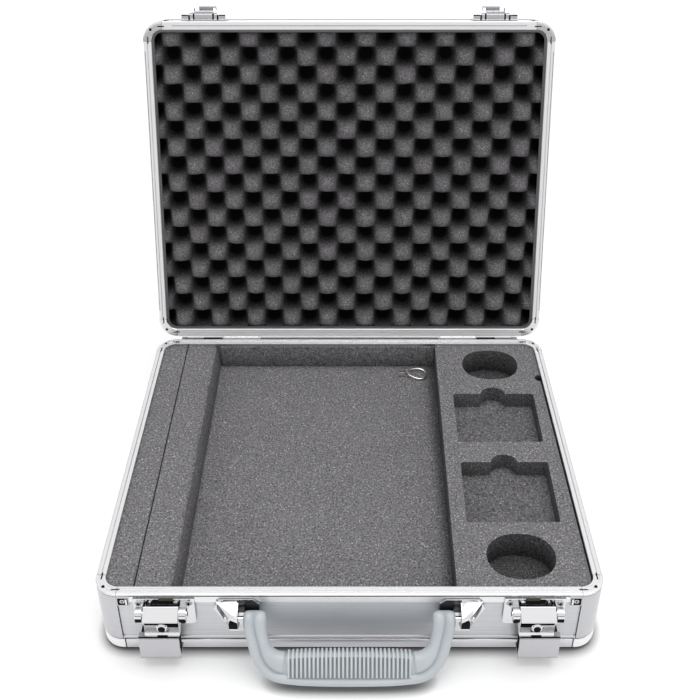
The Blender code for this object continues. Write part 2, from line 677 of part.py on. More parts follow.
def build_latch(side, word, metals):
    centre = LATCH_X * SPREAD * side
    lever_x = centre + LEVER_SHIFT * side
    pivot = Vector((lever_x, FRONT - LEVER_PIVOT_OUT, LEVER_PIVOT_HEIGHT))
    pivot_pair = (pivot.y, pivot.z)
    plate_back = FRONT - FIT_GAP
    plate_front = plate_back - LATCH_PLATE_THICKNESS
    left, right = centre - LATCH_PLATE_WIDTH / 2, centre + LATCH_PLATE_WIDTH / 2
    chamfer = LATCH_PLATE_CHAMFER
    outline = [
        (left + chamfer, LATCH_PLATE_BOTTOM), (right - chamfer, LATCH_PLATE_BOTTOM),
        (right, LATCH_PLATE_BOTTOM + chamfer), (right, LATCH_PLATE_TOP),
        (left, LATCH_PLATE_TOP), (left, LATCH_PLATE_BOTTOM + chamfer),
    ]
    plate_shape = prism(outline, lambda x, z: (x, plate_back, z), Vector((0, -LATCH_PLATE_THICKNESS, 0)))
    plate = add_object(f"latch_plate_{word}", plate_shape, metals["chrome"])
    inner = LEVER_WIDTH / 2 + POST_CLEARANCE
    outer = inner + POST_THICKNESS
    post_root = plate_front + LATCH_PLATE_THICKNESS / 2
    post = arc(pivot_pair, POST_RADIUS, 100, 260, 8)
    post = [(post_root, pivot.z + POST_RADIUS)] + post + [(post_root, pivot.z - POST_RADIUS)]
    for start, end in ((-outer, -inner), (inner, outer)):
        fuse(plate, across(post, lever_x + start, lever_x + end))
    slot_half = LATCH_SLOT_WIDTH / 2
    slot_top = LATCH_SLOT_BOTTOM + LATCH_SLOT_HEIGHT
    slot_low = (centre - slot_half, plate_front - CUT_OVERRUN / 4, LATCH_SLOT_BOTTOM)
    cut(plate, box(slot_low, (centre + slot_half, plate_back + CUT_OVERRUN, slot_top)))
    bore = LATCH_PIN_RADIUS + LATCH_PIN_PLAY
    cut(plate, rod(bore, lever_x - outer - CUT_OVERRUN, lever_x + outer + CUT_OVERRUN, *pivot_pair))
    pin = headed_pin(-outer - FIT_GAP, outer + FIT_GAP, LATCH_PIN_RADIUS, LATCH_HEAD_RADIUS, LATCH_HEAD_THICKNESS)
    add_object(f"latch_pin_{word}", placed(pin, pivot), metals["chrome"])

    axis = add_axis(f"lever_axis_{word}", pivot)
    half = LEVER_WIDTH / 2
    body = across(lever_outline(pivot_pair), lever_x - half, lever_x + half)
    lever = add_object(f"latch_lever_{word}", moved_home(body, pivot), metals["latch"], axis)
    low_x = lever_x + LEVER_LOW_SHIFT * side
    low_half = LEVER_LOW_WIDTH / 2
    pull = FRONT - LEVER_FRONT_OUT
    skirt_outline = [
        (pull, LEVER_LEDGE_HEIGHT), (pull, LEVER_BOTTOM + LEVER_WALL), (pull + LEVER_WALL, LEVER_BOTTOM),
        (FRONT - LEVER_BACK_OUT, LEVER_BOTTOM), (FRONT - LEVER_BACK_OUT, LEVER_LEDGE_HEIGHT),
    ]
    fuse(lever, moved_home(across(skirt_outline, low_x - low_half, low_x + low_half), pivot), axis)
    wall = LEVER_WALL
    face = FRONT - LEVER_FACE_OUT
    cavity_top = pivot.z - LEVER_BARREL_RADIUS - wall
    hollow = [
        (FRONT + CUT_OVERRUN, LEVER_BOTTOM + wall), (pull + wall, LEVER_BOTTOM + wall),
        (pull + wall, LEVER_LEDGE_HEIGHT - wall), (face + wall, LEVER_LEDGE_HEIGHT - wall / 2),
        (face + wall, cavity_top), (FRONT + CUT_OVERRUN, cavity_top),
    ]
    cut(lever, moved_home(across(hollow, lever_x - half + wall, lever_x + half - wall), pivot), axis)
    cut(lever, moved_home(rod(bore, lever_x - LEVER_WIDTH, lever_x + LEVER_WIDTH, *pivot_pair), pivot), axis)
    lock = Vector((lever_x, face, LOCK_HEIGHT))
    hole = spun_about_y([(-CUT_OVERRUN, LOCK_RADIUS + FIT_GAP), (CUT_OVERRUN, LOCK_RADIUS + FIT_GAP)])
    cut(lever, placed(hole, lock - pivot), axis)
    build_lock_plug(word, lock, pivot, axis, metals)


def spun_about_y(profile, sides=24):
    """A shape turned round Y from (place along Y, radius) pairs, closed by its end discs."""
    closed = [(profile[0][0], 0), *profile, (profile[-1][0], 0)]
    shape = turned(closed, sides)
    bmesh.ops.rotate(shape, verts=shape.verts, cent=(0, 0, 0), matrix=Matrix.Rotation(math.radians(90), 3, "Z"))
    return shape


def build_lock_plug(word, lock, pivot, axis, metals):
    """The lock's plug: a flange over the lever's face, the plug and the cam behind it."""
    flange = -FIT_GAP
    profile = [
        (flange - LOCK_FLANGE_THICKNESS, LOCK_FLANGE_RADIUS - FIT_GAP), (flange, LOCK_FLANGE_RADIUS),
        (flange, LOCK_RADIUS), (LOCK_LENGTH, LOCK_RADIUS),
    ]
    plug = add_object(f"lock_plug_{word}", placed(spun_about_y(profile), lock - pivot), metals["chrome"], axis)
    half = LOCK_CAM_WIDTH / 2
    cam = box((-half, LOCK_LENGTH - LOCK_CAM_THICKNESS, -LOCK_CAM_LENGTH), (half, LOCK_LENGTH + FIT_GAP, 0))
    fuse(plug, placed(cam, lock - pivot), axis)
    front = -FIT_GAP - LOCK_FLANGE_THICKNESS
    keyway = box((-KEYWAY_WIDTH / 2, front - CUT_OVERRUN, -KEYWAY_HEIGHT / 2),
                 (KEYWAY_WIDTH / 2, front + KEYWAY_DEPTH, KEYWAY_HEIGHT / 2))
    cut(plug, placed(keyway, lock - pivot), axis)


# Catches and hooks on the lid

def hook_section():
    """Side view of the closed hook as (y, z) from its pivot: down past the lever's lip and in under it."""
    pivot_y = FRONT - HOOK_PIVOT_RISE
    pivot_z = lid_level(HOOK_PIVOT_DROP)
    lip = FRONT - LEVER_LIP_OUT - pivot_y
    lip_z = LEVER_LIP_HEIGHT - pivot_z
    t = HOOK_THICKNESS
    gap = HOOK_TIP_CLEARANCE
    under = lip_z - LEVER_LIP_THICKNESS - gap
    return [
        (t / 2, 0), (lip - gap, lip_z), (lip - gap, under), (lip + gap * 1.7, under + gap / 3),
        (lip + gap * 1.7, under - t), (lip - gap - t, under - t), (lip - gap - t, lip_z), (-t / 2, 0),
    ]


def hook_rest_turn():
    """How far the hook turns back from holding the lever to lying on the lid."""
    far = LEVER_LIP_OUT + HOOK_TIP_CLEARANCE - HOOK_PIVOT_RISE
    down = lid_level(HOOK_PIVOT_DROP) - LEVER_LIP_HEIGHT
    return math.pi - math.atan2(far, down)


def build_catch(side, word, lid_axis, metals):
    centre = CATCH_X * SPREAD * side
    home = HINGE_POINT
    face = FRONT - FIT_GAP
    start = lid_level(CATCH_START)

    def piece(x_half, low, high, rise):
        shape = box((centre - x_half, face - rise, low), (centre + x_half, face, high))
        return moved_home(shape, home)

    plate = piece(CATCH_WIDTH / 2, start, start + CATCH_LENGTH, CATCH_THICKNESS)
    catch = add_object(f"lid_catch_{word}", plate, metals["chrome"], lid_axis)
    inner = face - CATCH_THICKNESS / 2
    for half, rise, drop in ((CATCH_WIDTH / 2 - FIT_GAP, CATCH_FLANGE_RISE, FIT_GAP),
                             (CATCH_BOX_WIDTH / 2, CATCH_BOX_RISE, FIT_GAP * 2)):
        wall = box((centre - half, face - rise, start + drop), (centre + half, inner, start + drop + CATCH_BOX_WALL))
        fuse(catch, moved_home(wall, home), lid_axis)
    pivot = Vector((centre, FRONT - HOOK_PIVOT_RISE, lid_level(HOOK_PIVOT_DROP)))
    round_off = (CHEEK_RISE - CATCH_THICKNESS) / 3
    cheek_low = start + FIT_GAP * 3
    cheek = [
        (inner, cheek_low), (face - CATCH_BOX_RISE + FIT_GAP, cheek_low),
        (face - CHEEK_RISE, cheek_low + round_off), (face - CHEEK_RISE, cheek_low + CHEEK_LENGTH - round_off),
        (face - CHEEK_RISE + round_off, cheek_low + CHEEK_LENGTH),
        (inner, cheek_low + CHEEK_LENGTH),
    ]
    half = CHEEK_WIDTH / 2
    for left in (-half, half - CHEEK_WALL):
        fuse(catch, moved_home(across(cheek, centre + left, centre + left + CHEEK_WALL), home), lid_axis)
    bore = HOOK_PIN_RADIUS + HOOK_PIN_PLAY
    cut(catch, moved_home(rod(bore, centre - half * 2, centre + half * 2, pivot.y, pivot.z), home), lid_axis)

    axis = add_axis(f"hook_axis_{word}", pivot - home, -hook_rest_turn(), lid_axis)
    plate = across(hook_section(), -HOOK_WIDTH / 2, HOOK_WIDTH / 2)
    hook = add_object(f"latch_hook_{word}", plate, metals["latch"], axis)
    fuse(hook, rod(HOOK_PIN_RADIUS, -half, half, 0, 0), axis)


# Handle

def handle_outline():
    """Front view of the handle as (x, reach): a U whose arms run up past the pivot."""
    outer = ((HANDLE_OUTER[0][0], -HANDLE_THICKNESS), *HANDLE_OUTER[1:])
    inner = (*HANDLE_INNER[:-1], (HANDLE_INNER[-1][0], -HANDLE_THICKNESS))
    outer, inner = (tuple((x * SPREAD, s) for x, s in line) for line in (outer, inner))
    right = outer + ((0, HANDLE_REACH),)
    left = tuple((-x, s) for x, s in reversed(outer))
    left_inner = tuple((-x, s) for x, s in reversed(inner))
    return right + left + left_inner + inner


def handle_profile():
    """Side view of the handle as (y, z): a round end on the pivot and a softer one below."""
    half = HANDLE_THICKNESS / 2
    end = HANDLE_END_ROUND - HANDLE_REACH
    low = arc((HANDLE_END_ROUND - half, end), HANDLE_END_ROUND, 180, 270, 4)
    low += arc((half - HANDLE_END_ROUND, end), HANDLE_END_ROUND, 270, 360, 4)
    return arc((0, 0), half, 0, 180, 10) + low


def build_handle(materials):
    """The handle hangs straight down in its own frame and leans out on its axis."""
    pivot = Vector((0, FRONT - HANDLE_PIVOT_OUT, HANDLE_PIVOT_HEIGHT))
    axis = add_axis("handle_axis", pivot, -HANDLE_LEAN)
    half = HANDLE_THICKNESS / 2
    shape = prism(handle_outline(), lambda x, s: (x, half, -s), Vector((0, -HANDLE_THICKNESS, 0)))
    handle = add_object("handle_body", shape, materials["handle"], axis)
    bevel = handle.modifiers.new("edge round", "BEVEL")
    bevel.width = HANDLE_EDGE_ROUND
    bevel.segments = 3
    bevel.limit_method = "ANGLE"
    bevel.angle_limit = math.radians(50)
    wide = HANDLE_OUTER[0][0] * SPREAD
    grip_wide = GRIP_HALF_WIDTH * SPREAD
    reach = wide + CUT_OVERRUN
    tool = add_object("handle_profile", across(handle_profile(), -reach, reach), None, axis)
    combine(handle, tool, "INTERSECT")
    floor = -half + GRIP_SINK
    sink = box((-grip_wide, -half - CUT_OVERRUN, -GRIP_END), (grip_wide, floor, -GRIP_START))
    cut(handle, sink, axis)
    bore = HANDLE_PIN_RADIUS + HANDLE_PIN_PLAY
    depth = HANDLE_PIN_SEAT + FIT_GAP
    for side in (-1, 1):
        ends = sorted((side * (wide - depth), side * (wide + CUT_OVERRUN)))
        cut(handle, rod(bore, *ends, 0, 0), axis)
    build_grip(floor, axis, materials["grip"])
    for side, word in ((-1, "left"), (1, "right")):
        build_bracket(side, word, pivot, materials["chrome"])


def build_grip(floor, axis, material):
    """A ribbed pad set in the front of the handle; ribs run across it."""
    wide = GRIP_HALF_WIDTH * SPREAD - FIT_GAP
    pitch = 2 * wide / GRIP_RIBS
    seat = floor - FIT_GAP
    low = seat - GRIP_SINK - GRIP_PROUD + FIT_GAP
    crest = low - GRIP_RIB_HEIGHT
    section = [(-wide, seat)]
    for rib in range(GRIP_RIBS):
        start = -wide + rib * pitch
        section += [(start, low), (start + pitch * 0.25, crest), (start + pitch * 0.75, crest)]
    section += [(wide, low), (wide, seat)]
    top, bottom = -GRIP_START - FIT_GAP, -GRIP_END + FIT_GAP
    pad = prism(section, lambda x, y: (x, y, bottom), Vector((0, 0, top - bottom)))
    add_object("handle_grip", pad, material, axis)


def build_bracket(side, word, pivot, chrome):
    """A chromed plate with a faceted boss that holds one end of the handle."""
    back = FRONT - FIT_GAP
    c = BRACKET_CHAMFER
    shift = HANDLE_OUTER[0][0] * (SPREAD - 1)
    inner, outer = BOSS_INNER_X + shift, BOSS_OUTER_X + shift
    near, far = BRACKET_INNER_X + shift, BRACKET_OUTER_X + shift
    outline = [
        (near, BRACKET_BOTTOM + c), (near + c, BRACKET_BOTTOM),
        (inner + BOSS_FACE_WIDTH, BRACKET_BOTTOM), (far, BRACKET_TOP - 2 * c),
        (far - c, BRACKET_TOP), (near + c, BRACKET_TOP), (near, BRACKET_TOP - c),
    ]
    outline = [(x * side, z) for x, z in outline]
    plate = prism(outline, lambda x, z: (x, back, z), Vector((0, -BRACKET_THICKNESS, 0)))
    bracket = add_object(f"handle_bracket_{word}", plate, chrome)
    root = back - BRACKET_THICKNESS / 2
    out = FRONT - BOSS_OUT
    points = [
        (inner, root, BOSS_TOP), (outer, root, BOSS_TOP), (outer, root, BOSS_TOP - BOSS_FACE_WIDTH),
        (inner + BOSS_FACE_WIDTH, root, BOSS_BOTTOM), (inner, root, BOSS_BOTTOM),
        (inner, out, BOSS_FACE_TOP), (inner, out, BOSS_FACE_BOTTOM),
        (inner + BOSS_FACE_WIDTH, out + BRACKET_THICKNESS, BOSS_FACE_BOTTOM),
        (inner + BOSS_FACE_WIDTH, out + BRACKET_THICKNESS, BOSS_FACE_TOP),
    ]
    boss = bmesh.new()
    for x, y, z in points:
        boss.verts.new((x * side, y, z))
    bmesh.ops.convex_hull(boss, input=boss.verts)
    fuse(bracket, boss)
    end = HANDLE_OUTER[0][0] * SPREAD - HANDLE_PIN_SEAT
    start = outer - BOSS_FACE_WIDTH
    ends = sorted((side * (start + FIT_GAP), side * (inner - CUT_OVERRUN)))
    cut(bracket, rod(HANDLE_PIN_RADIUS + FIT_GAP, *ends, pivot.y, pivot.z))
    ends = sorted((side * start, side * end))
    add_object(f"handle_pin_{word}", rod(HANDLE_PIN_RADIUS, *ends, pivot.y, pivot.z), chrome)


# Keys

def build_keys(metal):
    """Two flat keys stand on edge on one long ring, whose far side lies on the foam."""
    seat = FLOOR_FOAM_TOP + FIT_GAP
    block = SIDE - CAVITY - BLOCK_SHEAR - BLOCK_WIDTH
    centre = Vector((block - RING_FROM_BLOCK, BACK - RING_FROM_BACK, 0))
    hang = seat + KEY_BOW / 2
    lie = seat + RING_WIRE
    tilt = math.asin((hang - lie) / (2 * RING_RADIUS))
    ring = bmesh.new()
    wire = [ring.verts.new((RING_RADIUS + RING_WIRE * x, 0, RING_WIRE * z)) for x, z in arc((0, 0), 1, 0, 315, 7)]
    edges = [ring.edges.new((a, b)) for a, b in zip(wire, wire[1:] + wire[:1])]
    bmesh.ops.spin(ring, geom=wire + edges, cent=(0, 0, 0), axis=(0, 0, 1), angle=2 * math.pi, steps=28, use_merge=True)
    bmesh.ops.remove_doubles(ring, verts=ring.verts, dist=GROOVE_DEPTH / 100)
    for vert in ring.verts:   # longer than wide, and narrower towards the keys
        vert.co.y *= RING_SQUASH * (1 + RING_TAPER * vert.co.x / RING_RADIUS)
    turn = Matrix.Rotation(tilt, 4, "Y")
    centre.z = (hang + lie) / 2
    bmesh.ops.transform(ring, matrix=Matrix.Translation(centre) @ turn, verts=ring.verts)
    add_object("key_ring", ring, metal)
    hole_x = centre.x - RING_RADIUS * math.cos(tilt)
    for number, offset in ((1, -KEY_SPACING / 2), (2, KEY_SPACING / 2)):
        bow = arc((hole_x, hang), KEY_BOW / 2, -150, 150, 12)
        end = hole_x - KEY_LENGTH + KEY_BOW
        blade = [(end, hang + KEY_BLADE / 2), (end, hang - KEY_BLADE / 2)]
        y = centre.y + offset - KEY_THICKNESS / 2
        key = prism(bow + blade, lambda x, z: (x, y, z), Vector((0, KEY_THICKNESS, 0)))
        made = add_object(f"key_{number}", key, metal)
        hole = spun_about_y([(-CUT_OVERRUN, KEY_HOLE), (CUT_OVERRUN, KEY_HOLE)], 16)
        cut(made, placed(hole, Vector((hole_x, y, hang))))


def main():
    clear_scene()
    materials = {
        "panel": make_material("brushed aluminium panel", (0.62, 0.62, 0.63), 0.42, 1.0),
        "frame": make_material("aluminium rail", (0.78, 0.78, 0.79), 0.28, 1.0),
        "corner": make_material("corner casting", (0.80, 0.80, 0.81), 0.22, 1.0),
        "chrome": make_material("bright chrome", (0.86, 0.86, 0.87), 0.10, 1.0),
        "latch": make_material("latch steel", (0.80, 0.80, 0.81), 0.20, 1.0),
        "handle": make_material("grey handle plastic", (0.56, 0.60, 0.62), 0.40, 0.0),
        "grip": make_material("ribbed grip", (0.50, 0.54, 0.56), 0.55, 0.0),
        "foam": make_material("charcoal foam", (0.12, 0.12, 0.125), 0.95, 0.0),
        "key": make_material("nickel keys", (0.70, 0.69, 0.66), 0.25, 1.0),
    }
    lid_axis = add_axis("lid_axis", HINGE_POINT, -OPEN_ANGLE)
    build_shell("base", BASE_HEIGHT, lambda drop: BASE_HEIGHT - drop, Vector(), None, materials)
    build_shell("lid", LID_HEIGHT, lid_level, HINGE_POINT, lid_axis, materials)
    build_hinges(lid_axis, materials["chrome"])
    build_base_foam(materials["foam"])
    build_lid_foam(materials["foam"], lid_axis)
    for side, word in ((-1, "left"), (1, "right")):
        build_latch(side, word, materials)
        build_catch(side, word, lid_axis, materials)
    build_handle(materials)
    build_keys(materials["key"])


main()
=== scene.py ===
# Aluminium carrying case, open: brushed panels in bright rails, cut foam, two key latches, a drop handle.
import json
import math

import bmesh
import bpy
from bmesh.types import BMEdge, BMFace, BMVert
from mathutils import Matrix, Vector, noise

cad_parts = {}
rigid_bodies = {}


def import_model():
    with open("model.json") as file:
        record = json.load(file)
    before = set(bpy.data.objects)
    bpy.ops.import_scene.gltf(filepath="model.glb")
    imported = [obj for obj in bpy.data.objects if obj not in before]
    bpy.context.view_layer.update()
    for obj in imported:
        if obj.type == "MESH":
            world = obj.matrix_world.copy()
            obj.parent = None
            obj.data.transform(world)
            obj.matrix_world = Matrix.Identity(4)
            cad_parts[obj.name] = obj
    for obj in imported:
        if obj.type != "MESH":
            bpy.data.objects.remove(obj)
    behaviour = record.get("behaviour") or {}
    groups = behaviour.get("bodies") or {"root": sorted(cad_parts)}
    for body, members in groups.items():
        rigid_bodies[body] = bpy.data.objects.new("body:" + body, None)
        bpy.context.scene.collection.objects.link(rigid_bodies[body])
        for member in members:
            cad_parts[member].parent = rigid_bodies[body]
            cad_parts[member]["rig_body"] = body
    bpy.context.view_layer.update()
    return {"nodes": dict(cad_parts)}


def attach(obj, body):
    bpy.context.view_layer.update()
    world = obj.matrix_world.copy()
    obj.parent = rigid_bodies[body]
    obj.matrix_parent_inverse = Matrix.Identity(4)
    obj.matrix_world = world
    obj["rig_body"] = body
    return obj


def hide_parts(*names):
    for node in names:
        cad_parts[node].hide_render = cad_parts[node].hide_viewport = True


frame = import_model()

nodes = frame["nodes"]

# The case as drawn, in metres; lid pieces are made closed and then swung open about the hinge
case = {
    "side": 0.190, "front": -0.1545, "back": 0.1545, "height": 0.064, "lidHeight": 0.038,
    "cornerRadius": 0.018, "cornerSteps": 14, "hinge": Vector((0, 0.156, 0.0643)), "opened": math.radians(-105.2),
    "rimGap": 0.0006, "joint": 0.0003,
}
lidDepth = Vector((0, math.sin(-case["opened"]), math.cos(case["opened"])))   # points into the open lid


def baseLevel(drop):
    return case["height"] - drop


def lidLevel(drop):
    return case["height"] + case["rimGap"] + drop


# Node helpers

def fillInputs(tree, node, inputs):
    for key, value in inputs.items():
        if isinstance(value, bpy.types.NodeSocket):
            tree.links.new(value, node.inputs[key])
        else:
            node.inputs[key].default_value = value
    return node


def newNode(tree, kind, inputs=None, **settings):
    # returns its outputs
    node = tree.nodes.new("ShaderNode" + kind)
    for key, value in settings.items():
        setattr(node, key, value)
    return fillInputs(tree, node, inputs or {}).outputs


def calc(tree, operation, a, b=0.0):
    return newNode(tree, "Math", {0: a, 1: b}, operation=operation)[0]


def times(tree, a, b):
    return calc(tree, "MULTIPLY", a, b)


def remap(tree, value, low, high, toLow, toHigh, kind="LINEAR"):
    return newNode(tree, "MapRange", {"Value": value, "From Min": low, "From Max": high, "To Min": toLow,
                   "To Max": toHigh}, interpolation_type=kind)["Result"]


def mixOf(tree, factor, a, b):
    return newNode(tree, "Mix", {"Factor": factor, "A": a, "B": b})["Result"]


def objectPlace(tree):
    return newNode(tree, "TexCoord")["Object"]


def noiseAt(tree, where, scale, detail, roughness=0.5):
    return newNode(tree, "TexNoise", {"Vector": where, "Scale": scale, "Detail": detail,
                   "Roughness": roughness})["Fac"]


def bumpFrom(tree, height, strength, distance):
    return newNode(tree, "Bump", {"Height": height, "Strength": strength, "Distance": distance})["Normal"]


def newGroup(name, inputs, outputs):
    tree = bpy.data.node_groups.new(name, "ShaderNodeTree")
    for label, kind, value in inputs:
        tree.interface.new_socket(label, in_out="INPUT", socket_type=kind).default_value = value
    for label in outputs:
        tree.interface.new_socket(label, in_out="OUTPUT", socket_type="NodeSocketFloat")
    return tree, tree.nodes.new("NodeGroupInput").outputs, tree.nodes.new("NodeGroupOutput")


def placeGroup(tree, group, **inputs):
    return newNode(tree, "Group", inputs, node_tree=group)


# Brushing: fine lines that run long one way; Stretch is how fast they change along X, Y and Z
brushing, ins, outs = newGroup(
    "brushing", [("Stretch", "NodeSocketVector", (6.0, 1200.0, 1200.0)), ("Turn", "NodeSocketFloat", 0.0)],
    ["Shade", "Height"])
turned = newNode(brushing, "VectorRotate", {"Vector": objectPlace(brushing), "Angle": ins["Turn"]},
                 rotation_type="X_AXIS")[0]
along = newNode(brushing, "VectorMath", {0: turned, 1: ins["Stretch"]}, operation="MULTIPLY")[0]
lines = noiseAt(brushing, along, 1.0, 3.0, 0.65)
fillInputs(brushing, outs, {"Shade": remap(brushing, lines, 0.25, 0.75, 0.0, 1.0), "Height": lines})

# Handling marks: soft patches that a hand and a cloth leave on metal and plastic
handling, ins, outs = newGroup("handling marks", [("Size", "NodeSocketFloat", 30.0)], ["Patch", "Wave"])
where = objectPlace(handling)
patch = noiseAt(handling, where, ins["Size"], 4.0, 0.55)
wave = noiseAt(handling, where, times(handling, ins["Size"], 0.6), 1.0)
fillInputs(handling, outs, {"Patch": remap(handling, patch, 0.35, 0.7, 0.0, 1.0, "SMOOTHSTEP"), "Wave": wave})

# Open cell foam: small dark pores, lighter cell walls, painted highlights on a few cells and broad uneven patches
foamCells, ins, outs = newGroup("foam cells", [("Cells", "NodeSocketFloat", 900.0)], ["Shade", "Height"])
where = objectPlace(foamCells)
cells = newNode(foamCells, "TexVoronoi", {"Vector": where, "Scale": ins["Cells"]})
fine = noiseAt(foamCells, where, times(foamCells, ins["Cells"], 0.45), 3.0, 0.7)
pores = remap(foamCells, cells["Distance"], 0.0, 0.7, -0.5, 0.5)
grain = remap(foamCells, fine, 0.3, 0.7, -0.5, 0.5)
patches = remap(foamCells, noiseAt(foamCells, where, 28.0, 3.0, 0.6), 0.3, 0.7, -0.5, 0.5)
# painted highlights: a few cells are lit up in the colour itself
glintCells = newNode(foamCells, "TexVoronoi", {"Vector": where, "Scale": times(foamCells, ins["Cells"], 0.62)})
lucky = newNode(foamCells, "SeparateColor", {0: glintCells["Color"]})[0]
paintedGlints = times(foamCells, remap(foamCells, lucky, 0.84, 0.96, 0.0, 1.0),
               remap(foamCells, glintCells["Distance"], 0.15, 0.5, 1.0, 0.0))
shade = 0.0
for part, share in ((pores, 0.35), (grain, 0.75), (paintedGlints, 1.5), (patches, 0.05)):
    shade = calc(foamCells, "ADD", shade, times(foamCells, part, share))
fillInputs(foamCells, outs, {"Shade": shade, "Height": calc(foamCells, "ADD", grain, times(foamCells, pores, -0.6))})


# Materials

def startMaterial(name, look):
    made = bpy.data.materials.new(name)
    made.use_nodes = True
    tree = made.node_tree
    return made, tree, fillInputs(tree, tree.nodes["Principled BSDF"], look)


def shadeColour(tree, colour, factor):
    return newNode(tree, "VectorMath", {0: colour, "Scale": factor}, operation="SCALE")[0]


def metalFinish(name, colour, rough, stretch, lineShade, lineBump, wave, patchRough=0.08, turn=0.0):
    made, tree, skin = startMaterial(name, {"Metallic": 1.0})
    brushed = placeGroup(tree, brushing, Stretch=stretch, Turn=turn)
    marks = placeGroup(tree, handling, Size=26.0)
    factor = remap(tree, brushed["Shade"], 0.0, 1.0, 1.0 - lineShade, 1.0 + lineShade * 0.5)
    lineRough = remap(tree, brushed["Shade"], 0.0, 1.0, rough + lineShade * 0.5, rough - lineShade * 0.3)
    height = calc(tree, "ADD", times(tree, brushed["Height"], lineBump), times(tree, marks["Wave"], wave))
    fillInputs(tree, skin, {
        "Base Color": shadeColour(tree, colour, factor),
        "Roughness": calc(tree, "ADD", lineRough, times(tree, marks["Patch"], patchRough)),
        "Normal": bumpFrom(tree, height, 0.6, 0.001),
    })
    return made


acrossLines, evenGrain = (7.0, 1500.0, 1500.0), (900.0, 900.0, 900.0)
metals = {   # name, colour, roughness, grain, shade and bump of its lines, waves, roughness of its marks
    "cast": ("polished corner casting", (0.54, 0.54, 0.56), 0.24, evenGrain, 0.03, 0.01, 0.25),
    "cap": ("polished corner cap", (0.80, 0.80, 0.81), 0.20, evenGrain, 0.03, 0.01, 0.25),
    "chrome": ("bright plating", (0.72, 0.72, 0.74), 0.07, evenGrain, 0.02, 0.0, 0.12, 0.05),
    # latch and flap are a darker and a lighter copy of one plating: painted shade and painted light
    "latch": ("latch plating", (0.52, 0.52, 0.54), 0.14, acrossLines, 0.04, 0.05, 0.08),
    "flap": ("bright latch flap", (0.80, 0.80, 0.81), 0.14, acrossLines, 0.04, 0.05, 0.08),
    # a near-black copy of the plating: painted shade
    "paintedShadePlating": ("plating in shade", (0.06, 0.06, 0.065), 0.16, evenGrain, 0.06, 0.05, 0.2),
    # a much lighter copy of the casting metal: painted light against the shaded floor that the base's lower casting
    # mirrors
    "brightenedLowCast": ("bottom casting painted lighter", (0.92, 0.92, 0.93), 0.42, evenGrain, 0.05, 0.05, 0.1),
    # dark metal: painted shade on the flange inside the lid's rail
    "lip": ("lid flange in painted shade", (0.17, 0.17, 0.175), 0.3, evenGrain, 0.05, 0.05, 0.1),
    "key": ("nickel key", (0.86, 0.85, 0.82), 0.22, evenGrain, 0.08, 0.05, 0.0),
    "screw": ("screw steel", (0.55, 0.55, 0.56), 0.16, evenGrain, 0.08, 0.05, 0.2),
}
drawnMetals = {   # the same with the pace of its lines along and across them in place of the grain
    "panel": ("brushed panel", (0.63, 0.64, 0.66), 0.42, (7.0, 1500.0), 0.14, 0.05, 0.0, 0.08),
    "rail": ("drawn rail", (0.80, 0.80, 0.81), 0.26, (3.0, 2200.0), 0.05, 0.01, 0.0, 0.03),
    "lidRail": ("satin lid rail", (0.92, 0.92, 0.93), 0.48, (3.0, 2200.0), 0.05, 0.01, 0.0, 0.03),
    "lowRail": ("lower rail", (0.68, 0.68, 0.70), 0.28, (3.0, 2200.0), 0.06, 0.01, 0.0, 0.03),
}
finishes = {key: metalFinish(*look) for key, look in metals.items()}
for word in ("Across", "Deep", "LidDeep"):
    turn = -case["opened"] if word == "LidDeep" else 0.0
    for key, (label, colour, rough, (slow, fast), *rest) in drawnMetals.items():
        stretch = (slow, fast, fast) if word == "Across" else (fast, slow, fast)
        finishes[key + word] = metalFinish(f"{label} {word}", colour, rough, stretch, *rest, turn)


def plasticFinish(name, colour, rough, grain, bump, gleam=0.45):
    made, tree, skin = startMaterial(name, {"Specular IOR Level": gleam})
    patch = placeGroup(tree, handling, Size=40.0)["Patch"]
    fillInputs(tree, skin, {
        "Base Color": shadeColour(tree, colour, remap(tree, patch, 0.0, 1.0, 0.97, 1.03)),
        "Roughness": remap(tree, patch, 0.0, 1.0, rough - 0.05, rough + 0.08),
        "Normal": bumpFrom(tree, noiseAt(tree, objectPlace(tree), grain, 2.0), bump, 0.0004),
    })
    return made


finishes["handle"] = plasticFinish("grey handle plastic", (0.53, 0.57, 0.595), 0.34, 1500.0, 0.15)
finishes["grip"] = plasticFinish("ribbed grip rubber", (0.62, 0.66, 0.68), 0.42, 1500.0, 0.2)
# much darker plastic between the grip's ribs: painted shade in the gaps
finishes["gripGapShade"] = plasticFinish("painted shade between the grip's ribs", (0.22, 0.24, 0.25), 0.5, 1500.0, 0.2)
# near black, for painted shade in openings, slots, grooves, seams and gaps, and under the base
finishes["dark"] = plasticFinish("painted shade in recesses and gaps", (0.010, 0.010, 0.010), 0.7, 900.0, 0.2, gleam=0.05)
finishes["olive"] = plasticFinish("dark olive catch seat", (0.045, 0.040, 0.025), 0.45, 900.0, 0.2)

foamLook = {
    "colour": (0.168, 0.164, 0.171), "contrast": 2.3, "cells": 1350.0, "lidColour": (0.142, 0.137, 0.142),
    "lidContrast": 1.7, "pitStart": 0.0046, "pitEnd": 0.0200, "pitShade": 0.010,
}


